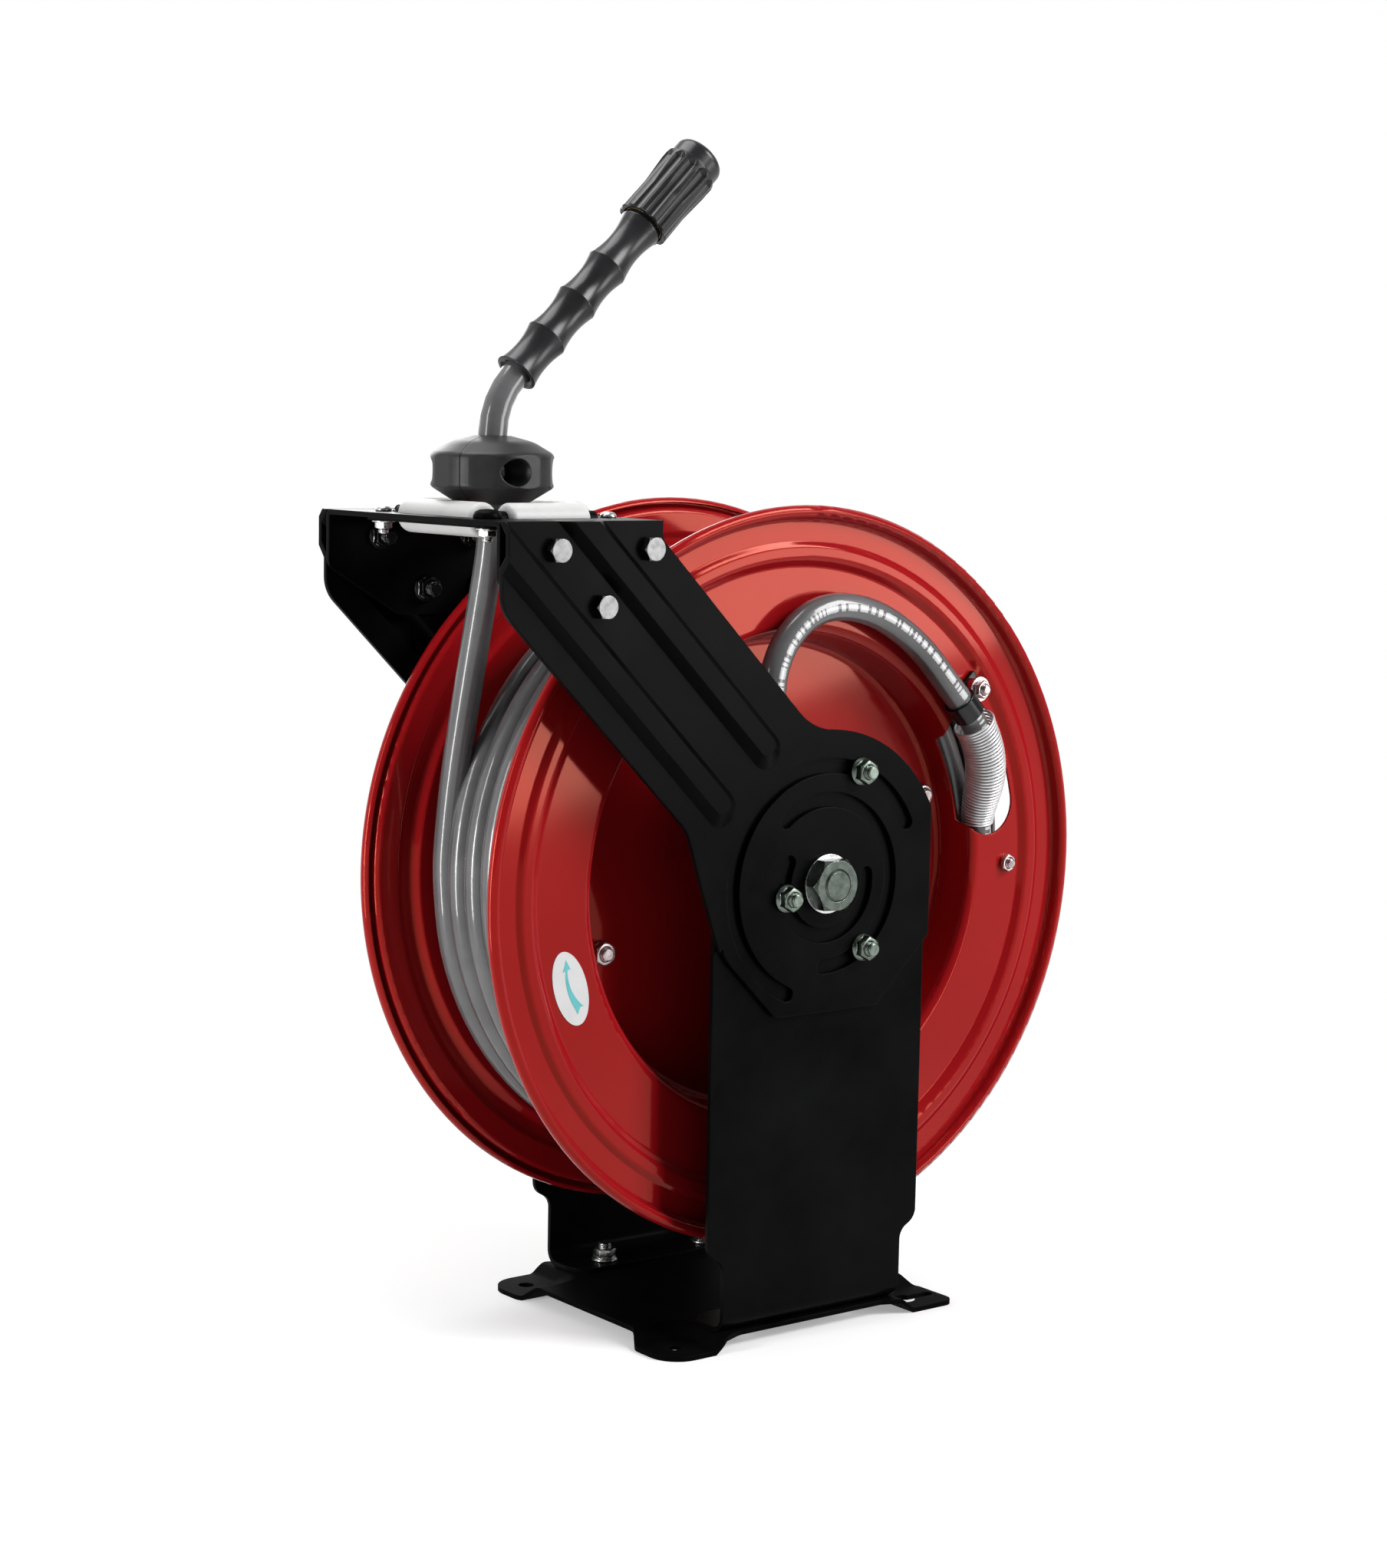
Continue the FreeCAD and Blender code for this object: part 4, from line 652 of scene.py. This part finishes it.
def outer_hose(cover):
    """Outer layer on the drum, the run to the rollers and the end in the grip, as one hose."""
    reach = WIND_R / SPLINE_SHARE
    points = []
    # The tail dips under the layer at the front.
    for k in range(TAIL_POINTS, 0, -1):
        angle = EXIT_ANGLE + 360 * (WIND_TURNS + k / POINTS_PER_TURN)
        points.append(on_drum(reach - k * k * TAIL_DIP, angle, EXIT_Y - WIND_PITCH * WIND_TURNS))
    for k in range(int(WIND_TURNS * POINTS_PER_TURN), 0, -1):
        turns = k / POINTS_PER_TURN
        points.append(on_drum(reach, EXIT_ANGLE + 360 * turns, EXIT_Y - WIND_PITCH * turns))
    points += [Vector((-WIND_R, EXIT_Y, AXLE_Z)),
               Vector((-WIND_R, EXIT_Y - 2 * MM, AXLE_Z + 24 * MM)),
               Vector((-WIND_R, 34 * MM, 345 * MM)),
               Vector((STOP_X - 1 * MM, 9 * MM, 440 * MM)),
               Vector((STOP_X, 0, 478 * MM)),
               Vector((STOP_X, 0, STOP_LOW - 2 * MM)),
               Vector((STOP_X, 0, STOP_LOW + 19 * MM)),
               Vector((STOP_X, 0, BEND_Z)),
               end_axis(BEND_REACH),
               end_axis(GRIP_END)]
    hose = round_tube("hose", smooth_route(points, 4), HOSE_R, FRONT)
    hose.data.materials.append(cover)
    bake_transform(hose)
    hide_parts("wound_hose", "hose_stub")


def lead_route():
    """Route of the lead hose over the front disc, down to where it lies on the drum."""
    return [on_drum(OUTLET_R, OUTLET_ANGLE, OUTLET_Y),
            on_drum(RISE_R, OUTLET_ANGLE, OUTLET_Y),
            *(Vector((x * MM, y * MM, AXLE_Z + up * MM)) for x, y, up in LEAD_WAY),
            on_drum(LOWER_R, ENTRY_ANGLE, LOWER_Y) + DIVE]


def lower_hose(cover):
    """Lead hose and the lower layer that it starts, as one hose on the drum."""
    points = lead_route()
    reach = LOWER_R / SPLINE_SHARE
    step = -2 * LOWER_Y / LOWER_STEPS
    for k in range(int((LOWER_STEPS + STEP_FROM) * POINTS_PER_TURN)):
        turns = k / POINTS_PER_TURN
        crossed = min(1.0, max(0.0, (turns % 1 - STEP_FROM) / STEP_LONG))
        crossed = crossed * crossed * (3 - 2 * crossed)
        y = LOWER_Y + step * (int(turns) + crossed)
        points.append(on_drum(reach, ENTRY_ANGLE - 360 * turns, y))
    hose = round_tube("lead_and_lower_hose", smooth_route(points, 5), HOSE_R, BACK)
    return finish_as(hose, cover, "hose_rubber", "drum", "lead_hose", "inner_winding")


def guard_coil(wire):
    """Close-wound bend guard round the lead hose where it dives through the slot."""
    entry = on_drum(LOWER_R, ENTRY_ANGLE, LOWER_Y)
    beyond = on_drum(LOWER_R, ENTRY_ANGLE - 12, LOWER_Y)
    route = smooth_route(lead_route() + [entry, beyond], 24)
    nearest = min(range(len(route)), key=lambda i: (route[i] - entry).length)
    back = list(reversed(route[:nearest + 1]))
    stretch = [p for p, d in zip(back, lengths_along(back)) if GUARD_LAST < d < GUARD_FIRST]
    stretch.reverse()
    frames = frames_along(stretch, FRONT)
    travelled = lengths_along(stretch)
    curls = travelled[-1] / GUARD_PITCH
    steps = int(curls * GUARD_STEPS)
    coil = []
    for k in range(steps + 1):
        share = k / steps
        distance = travelled[-1] * share
        i = max(j for j in range(len(travelled)) if travelled[j] <= distance + 1e-9)
        point, tangent, side, up = frames[i]
        a = 2 * math.pi * curls * share
        drawn_in = max(0.0, 2 * share - 1) ** 1.2
        flare = MOUTH_FLARE * max(0.0, 1 - share / MOUTH_SHARE)
        radius = GUARD_R + (GUARD_END_R - GUARD_R) * drawn_in + flare
        way = side * math.cos(a) + up * math.sin(a)
        coil.append(point + tangent * (distance - travelled[i]) + way * radius)
    guard = round_tube("bend_guard", coil, GUARD_WIRE_R, FRONT, sides=8)
    return finish_as(guard, wire, "chrome", "drum", "spring_guard")


# Fasteners

# Threads, each as width over its nut's flats, radius of the plain shank and pitch
M8 = (13 * MM, 4 * MM, 1.25 * MM)
M6 = (10 * MM, 3 * MM, 1.0 * MM)
# How far a thread's root and crest stand over the plain shank inside it, and its tip past the shank's end
THREAD_ROOT = 0.03 * MM
THREAD_CREST = 0.4 * MM
TIP_PROUD = 0.6 * MM
TIP_DRAWN_IN = 0.8 * MM
# Cone that turns off a nut's corners, in degrees, and the share of its height at which the flange ends
CORNER_SLOPE = 30
FLANGE_SHARE = 0.4
# Nuts of the hose clip, and the ring of its washer
CLIP_NUT_HEIGHT = 4 * MM
CLIP_NUT_R = 4.6 * MM
WASHER_HOLE_R = 3.2 * MM
WASHER_R = 8 * MM
WASHER_EDGE = 0.3 * MM
# Height of the roller screws' heads
SCREW_HEAD = 3.4 * MM


def hexagon(across, height):
    """Hexagon standing on the origin with its far corners turned off by a cone."""
    deselect()
    bpy.ops.mesh.primitive_cylinder_add(vertices=6, radius=across / math.sqrt(3), depth=height,
                                        location=(0, 0, height / 2))
    head = bpy.context.object
    bpy.ops.object.transform_apply(location=True, rotation=False, scale=False)
    top = across * 0.47
    drop = (across - top) * math.tan(math.radians(CORNER_SLOPE))
    cone = turned("cone", [(across, -height), (across, height - drop), (top, height),
                           (top * 0.5, height + 1e-5)], 64)
    combined(head, cone, "INTERSECT")
    return bevel(head, across * 0.012, 25)


def thread_end(root, crest, pitch, length):
    """End of a threaded shank: one unbroken helix round a core with a turned-off tip."""
    mesh = bpy.data.meshes.new("thread")
    mesh.from_pydata([(root, 0, 0), (crest, 0, pitch * 0.5), (root, 0, pitch)], [(0, 1), (1, 2)], [])
    thread = bpy.data.objects.new("thread", mesh)
    bpy.context.scene.collection.objects.link(thread)
    pick(thread)
    wind = thread.modifiers.new("wind", "SCREW")
    wind.angle = 2 * math.pi
    wind.screw_offset = pitch
    wind.iterations = max(1, int((length - TIP_PROUD) / pitch) - 1)
    wind.steps = 20
    wind.render_steps = 20
    wind.use_merge_vertices = True
    wind.merge_threshold = 1e-6
    bpy.ops.object.modifier_apply(modifier=wind.name)
    core = turned("core", [(root, 0), (root, length - TIP_PROUD), (root - TIP_DRAWN_IN, length)], 28)
    return join([thread, smooth(core)], "thread_end")


def flange_nut(thread, height, flange_r, stand_out):
    """Hexagon nut on its conical flange with the end of its bolt standing out of it."""
    across, shank_r, pitch = thread
    root = shank_r + THREAD_ROOT
    crest = shank_r + THREAD_CREST
    start = height * FLANGE_SHARE
    head = hexagon(across, height)
    flange = turned("flange", [(flange_r - 0.3 * MM, 0), (flange_r, 0.4 * MM), (flange_r, 1.2 * MM),
                               (across * 0.53, 0.36 * height), (across * 0.4, start)], 48)
    bore = turned("bore", [(crest + 0.1 * MM, start), (crest + 0.1 * MM, height - 0.5 * MM),
                           (crest + 1.0 * MM, height + 0.4 * MM)], 40)
    head = combined(head, bore, "DIFFERENCE")
    tip = thread_end(root, crest, pitch, height - start + stand_out + TIP_PROUD)
    tip.data.transform(Matrix.Translation((0, 0, start)))
    return smooth(join([head, smooth(bevel(flange, 0.2 * MM)), tip], "flange_nut"), 28)


def clip_fasteners():
    """Nut and washer that hold the hose clip, and the same nut lower on the disc."""
    boxes = solids("clip_screws")
    washer_low, washer_high = boxes[0]
    lower_low, lower_high = boxes[-1]
    thick = washer_high.y - washer_low.y
    upper_seat = (washer_low + washer_high) / 2
    upper_seat.y = washer_low.y
    lower_seat = (lower_low + lower_high) / 2
    lower_seat.y = lower_low.y + CLIP_NUT_HEIGHT
    nut = flange_nut(M6, CLIP_NUT_HEIGHT, CLIP_NUT_R, 2 * MM)
    shank = turned("shank", [(3 * MM, -4 * MM), (3 * MM, 0.2 * MM)], 28)
    seats = [(upper_seat, FRONT), (lower_seat, FRONT)]
    nuts = copies(join([nut, shank], "clip_nut"), "clip_nut_set", seats)
    # Pink cast on the clip's nuts and washer paints the red disc's reflection.
    finish_as(nuts, PLATE["zinc_painted_red_reflection"], "zinc", "drum", "clip_screws")
    flat_r = WASHER_R - WASHER_EDGE
    washer = turned("clip_washer", [(WASHER_HOLE_R, 0), (flat_r, 0), (WASHER_R, WASHER_EDGE),
                                    (WASHER_R, thick - WASHER_EDGE), (flat_r, thick),
                                    (WASHER_HOLE_R, thick), (WASHER_HOLE_R, 0)], 48, closed=True)
    washer = placed(smooth(washer), upper_seat + BACK * thick, FRONT)
    finish_as(washer, PLATE["zinc_painted_red_reflection"], "zinc", "drum")


def outwards(middle):
    return FRONT if middle.y < 0 else BACK


def inwards(middle):
    return -outwards(middle)


def upwards(middle):
    return Z


def downwards(middle):
    return -Z


def nuts_from(node, name, way_of, thread, stand_out, body, plate="zinc"):
    """Detailed nuts in place of the CAD node's, each with its bolt's threaded end."""
    spots = []
    for low, high in solids(node):
        middle = (low + high) / 2
        way = Vector(way_of(middle))
        half = abs((high - low).dot(way)) / 2
        spots.append((middle - way * half, way))
    master = flange_nut(thread, half * 2, max(high - low) / 2, stand_out)
    return finish_as(copies(master, name, spots), PLATE[plate], "zinc", body, node)


def screw_domes():
    """Domed heads of the roller screws, and at the corner nearest the front left a black cap in place of
    the zinc head, painting the dark reflection that head shows.
    """
    spots = []
    for low, high in solids("head_screws"):
        spots.append(Vector(((low.x + high.x) / 2, (low.y + high.y) / 2, high.z - SCREW_HEAD)))
    corner = min(spots, key=lambda spot: spot.x + spot.y)
    dome = turned("dome", [(4.6 * MM, 0), (4.9 * MM, 0.4 * MM), (4.7 * MM, 1.5 * MM), (3.9 * MM, 2.6 * MM),
                           (2.4 * MM, 3.3 * MM), (0.8 * MM, 3.5 * MM)], 40)
    seats = [(spot, Z) for spot in spots if spot != corner]
    heads = copies(smooth(dome, 50), "head_screw_set", seats)
    finish_as(heads, PLATE["zinc"], "zinc", "guide_arm", "head_screws")
    # Black cap over the front-left screw: it paints the dark reflection of that zinc head.
    cap = turned("corner_dark_reflection_cap", [(8.0 * MM, 0), (8.3 * MM, 0.6 * MM), (8.0 * MM, 2.4 * MM),
                                (6.8 * MM, 4.0 * MM), (4.4 * MM, 5.0 * MM), (1.5 * MM, 5.3 * MM)], 48)
    cap = copies(smooth(cap, 50), "corner_dark_reflection_cap", [(corner, Z)])
    finish_as(cap, FINISHES["black_paint"], "black_paint", "guide_arm")


# Label

# Where the label sits round the axle, in degrees
LABEL_ANGLE = 198
# Arrow's shaft, measured along it and inwards across it: a bow that is deepest at a share of its length
SHAFT_LOW = -14.5 * MM
SHAFT_HIGH = 11.5 * MM
SHAFT_STEPS = 14
SHAFT_BOW = 4.4 * MM
BOW_DEEPEST = 0.62
BOW_DROP = 0.28
# Half width of the shaft, which flares to its tail with two uneven points and a notch
SHAFT_THIN = 0.75 * MM
SHAFT_FLARE = 2.3 * MM
FLARE_POWER = 1.7
TAIL_OUTER = 2.0 * MM
TAIL_INNER = 1.4 * MM
TAIL_NOTCH = 1.6 * MM
# Arrow's head, with two wings swept back and its tip
HEAD_BACK = 0.3 * MM
HEAD_WING = 2.1 * MM
HEAD_TIP = (17.5 * MM, 1.9 * MM)
PRINT_THICK = 0.12 * MM


def arrow_print(ink):
    """Curved arrow on the oval label, as a thin raised print."""
    low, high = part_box("direction_label")
    middle = (low + high) / 2
    out = math.radians(LABEL_ANGLE)
    along = Vector((math.sin(out), 0, -math.cos(out)))
    inward = Vector((-math.cos(out), 0, -math.sin(out)))
    outer, inner = [], []
    for k in range(SHAFT_STEPS + 1):
        share = k / SHAFT_STEPS
        a = SHAFT_LOW + (SHAFT_HIGH - SHAFT_LOW) * share
        bow = SHAFT_BOW * ((share - BOW_DEEPEST) ** 2 / BOW_DEEPEST ** 2 - BOW_DROP)
        half = SHAFT_THIN + SHAFT_FLARE * (1 - share) ** FLARE_POWER
        outer.append((a, bow - half))
        inner.append((a, bow + half))
    head = [(SHAFT_HIGH - HEAD_BACK, inner[-1][1] + HEAD_WING), HEAD_TIP,
            (SHAFT_HIGH - HEAD_BACK, outer[-1][1] - HEAD_WING)]
    outer[0] = (outer[0][0] - TAIL_OUTER, outer[0][1])
    inner[0] = (inner[0][0] + TAIL_INNER, inner[0][1])
    notch = [(SHAFT_LOW + TAIL_NOTCH, (outer[0][1] + inner[0][1]) / 2)]
    outline = inner + head + list(reversed(outer)) + notch
    points = [middle + along * a + inward * b for a, b in outline]
    verts = [(p.x, low.y - PRINT_THICK, p.z) for p in points]
    mesh = bpy.data.meshes.new("direction_arrow")
    mesh.from_pydata(verts, [], [tuple(range(len(verts)))])
    arrow = bpy.data.objects.new("direction_arrow", mesh)
    bpy.context.scene.collection.objects.link(arrow)
    pick(arrow)
    bpy.ops.object.mode_set(mode="EDIT")
    bpy.ops.mesh.select_all(action="SELECT")
    bpy.ops.mesh.quads_convert_to_tris()
    bpy.ops.mesh.extrude_region_move(TRANSFORM_OT_translate={"value": (0, PRINT_THICK, 0)})
    bpy.ops.mesh.select_all(action="SELECT")
    bpy.ops.mesh.normals_make_consistent(inside=False)
    bpy.ops.object.mode_set(mode="OBJECT")
    return finish_as(arrow, ink, "label", "drum")


# Pieces

finish_cad_nodes()
outer_hose(FINISHES["hose_rubber"])
lower_hose(hose_cover("lead_hose_cover", True))
guard_coil(FINISHES["chrome"])
arrow_print(arrow_ink())
nuts_from("clamp_nuts", "clamp_nut_set", outwards, M8, 3.4 * MM, "stand", "green_zinc")
# Tie nuts get a pink cast that paints the red discs' reflection.
nuts_from("tie_nuts", "tie_nut_set", outwards, M8, 2 * MM, "drum", "zinc_painted_red_reflection")
nuts_from("foot_nuts", "foot_nut_set", upwards, M8, 3 * MM, "stand")
nuts_from("arm_nuts", "arm_nut_set", inwards, M8, 5 * MM, "guide_arm", "blackened")
clip_fasteners()
screw_domes()
nuts_from("head_nuts", "head_nut_set", downwards, M6, 2.5 * MM, "guide_arm")


# Studio

# Strength of the background as a light. The camera sees it at 1.
AMBIENT = 0.12
# Light that the floor gives off near the reel, and the share of the lamps' light that it throws back
FLOOR_LIFT = 0.32
FLOOR_BOUNCE = 0.32
# Distances between which the floor's shadow fades to white
FADE_FROM = 0.35
FADE_TO = 0.9
# What the lamps point at
MIDDLE = (-0.05, 0.0, 0.34)


def floor():
    """White floor that keeps a soft shadow near the reel and fades to white further out."""
    deselect()
    bpy.ops.mesh.primitive_circle_add(vertices=96, radius=9.0, fill_type="NGON", location=(0, 0, 0))
    ground = bpy.context.object
    ground.name = "floor"
    material = bpy.data.materials.new("floor_white")
    material.use_nodes = True
    tree = material.node_tree
    tree.nodes.clear()
    place = add_node(tree, "TexCoord").outputs["Object"]
    distance = add_node(tree, "VectorMath", {0: place}, operation="LENGTH")
    far = add_node(tree, "MapRange", {"Value": distance.outputs["Value"], "From Min": FADE_FROM,
                                      "From Max": FADE_TO})
    path = add_node(tree, "LightPath")
    seen = add_node(tree, "Math", {0: path.outputs["Is Camera Ray"], 1: path.outputs["Is Glossy Ray"]},
                    operation="MAXIMUM")
    seen = add_node(tree, "Math", {0: seen.outputs[0], 1: path.outputs["Is Transmission Ray"]},
                    operation="MAXIMUM")
    plain = add_node(tree, "BsdfDiffuse", {"Color": (0.8, 0.8, 0.8, 1)})
    lift = add_node(tree, "Emission", {"Color": (1, 1, 1, 1), "Strength": FLOOR_LIFT})
    near = add_node(tree, "AddShader", {0: plain.outputs[0], 1: lift.outputs[0]})
    white = add_node(tree, "Emission", {"Color": (1, 1, 1, 1), "Strength": 1.0})
    shown = add_node(tree, "MixShader", {0: far.outputs["Result"], 1: near.outputs[0], 2: white.outputs[0]})
    bounce = add_node(tree, "BsdfDiffuse", {"Color": (FLOOR_BOUNCE, FLOOR_BOUNCE, FLOOR_BOUNCE, 1)})
    whole = add_node(tree, "MixShader", {0: seen.outputs[0], 1: bounce.outputs[0], 2: shown.outputs[0]})
    output = add_node(tree, "OutputMaterial")
    tree.links.new(whole.outputs[0], output.inputs["Surface"])
    ground.data.materials.append(material)


def surroundings():
    """White background; metal sees it behind the reel and a dimmer studio in front."""
    world = bpy.data.worlds.new("studio")
    bpy.context.scene.world = world
    world.use_nodes = True
    tree = world.node_tree
    tree.nodes.clear()
    path = add_node(tree, "LightPath")
    place = add_node(tree, "TexCoord").outputs["Generated"]
    parts = add_node(tree, "SeparateXYZ", {"Vector": place})
    behind = add_node(tree, "MapRange", {"Value": parts.outputs["Y"], "From Min": -0.2, "From Max": 0.5,
                                         "To Min": 0.05, "To Max": 1.0})
    mirrored = add_node(tree, "Math", {0: path.outputs["Is Glossy Ray"],
                                       1: path.outputs["Is Transmission Ray"]}, operation="MAXIMUM")
    mirrored = add_node(tree, "Math", {0: mirrored.outputs[0], 1: behind.outputs["Result"]},
                        operation="MULTIPLY")
    seen = add_node(tree, "Math", {0: path.outputs["Is Camera Ray"], 1: mirrored.outputs[0]},
                    operation="MAXIMUM")
    level = add_node(tree, "MapRange", {"Value": seen.outputs[0], "To Min": AMBIENT, "To Max": 1.0})
    white = add_node(tree, "Background", {"Color": (1, 1, 1, 1), "Strength": level.outputs["Result"]})
    output = add_node(tree, "OutputWorld")
    tree.links.new(white.outputs[0], output.inputs["Surface"])


def lamp(name, place, target, width, height, power, roll=0.0):
    light = bpy.data.lights.new(name, "AREA")
    light.shape = "RECTANGLE"
    light.size = width
    light.size_y = height
    light.energy = power
    holder = bpy.data.objects.new(name, light)
    bpy.context.scene.collection.objects.link(holder)
    holder.location = place
    facing = (Vector(target) - Vector(place)).to_track_quat("-Z", "Y").to_matrix()
    holder.rotation_euler = (facing @ Matrix.Rotation(math.radians(roll), 3, "Z")).to_euler()


def camera():
    """Camera where the photograph was taken from, rolled by about a degree."""
    place = Vector((-1.16293, -1.47613, 0.55838))
    target = Vector((-0.02866, 0.0, 0.32931))
    roll = math.radians(1.094)
    lens = bpy.data.cameras.new("camera")
    lens.lens = 69.79
    lens.sensor_width = 36.0
    lens.clip_start = 0.05
    holder = bpy.data.objects.new("camera", lens)
    bpy.context.scene.collection.objects.link(holder)
    away = (place - target).normalized()
    right = Z.cross(away).normalized()
    up = away.cross(right)
    turned_right = right * math.cos(roll) + up * math.sin(roll)
    turned_up = up * math.cos(roll) - right * math.sin(roll)
    turn = Matrix((turned_right, turned_up, away)).transposed().to_4x4()
    holder.matrix_world = Matrix.Translation(place) @ turn
    bpy.context.scene.camera = holder


floor()
surroundings()
camera()
lamp("mirror_panel", (0.85, -1.25, 0.46), (0.0, -0.07, 0.4), 0.72, 0.5, 8, roll=22)
lamp("key", (1.3, -1.7, 1.9), MIDDLE, 1.1, 1.1, 56)
lamp("left_strip", (-2.15, 0.0, 0.75), MIDDLE, 0.3, 1.4, 14)
lamp("low_strip", (-0.87, -0.01, 0.24), (-0.18, 0.03, 0.38), 0.1, 0.4, 2.4)
lamp("overhead", (-0.4, 0.3, 2.1), MIDDLE, 1.0, 1.0, 20)
lamp("back_fill", (0.6, 2.2, 1.3), MIDDLE, 1.4, 1.4, 24)

bpy.context.scene.view_settings.view_transform = "Standard"
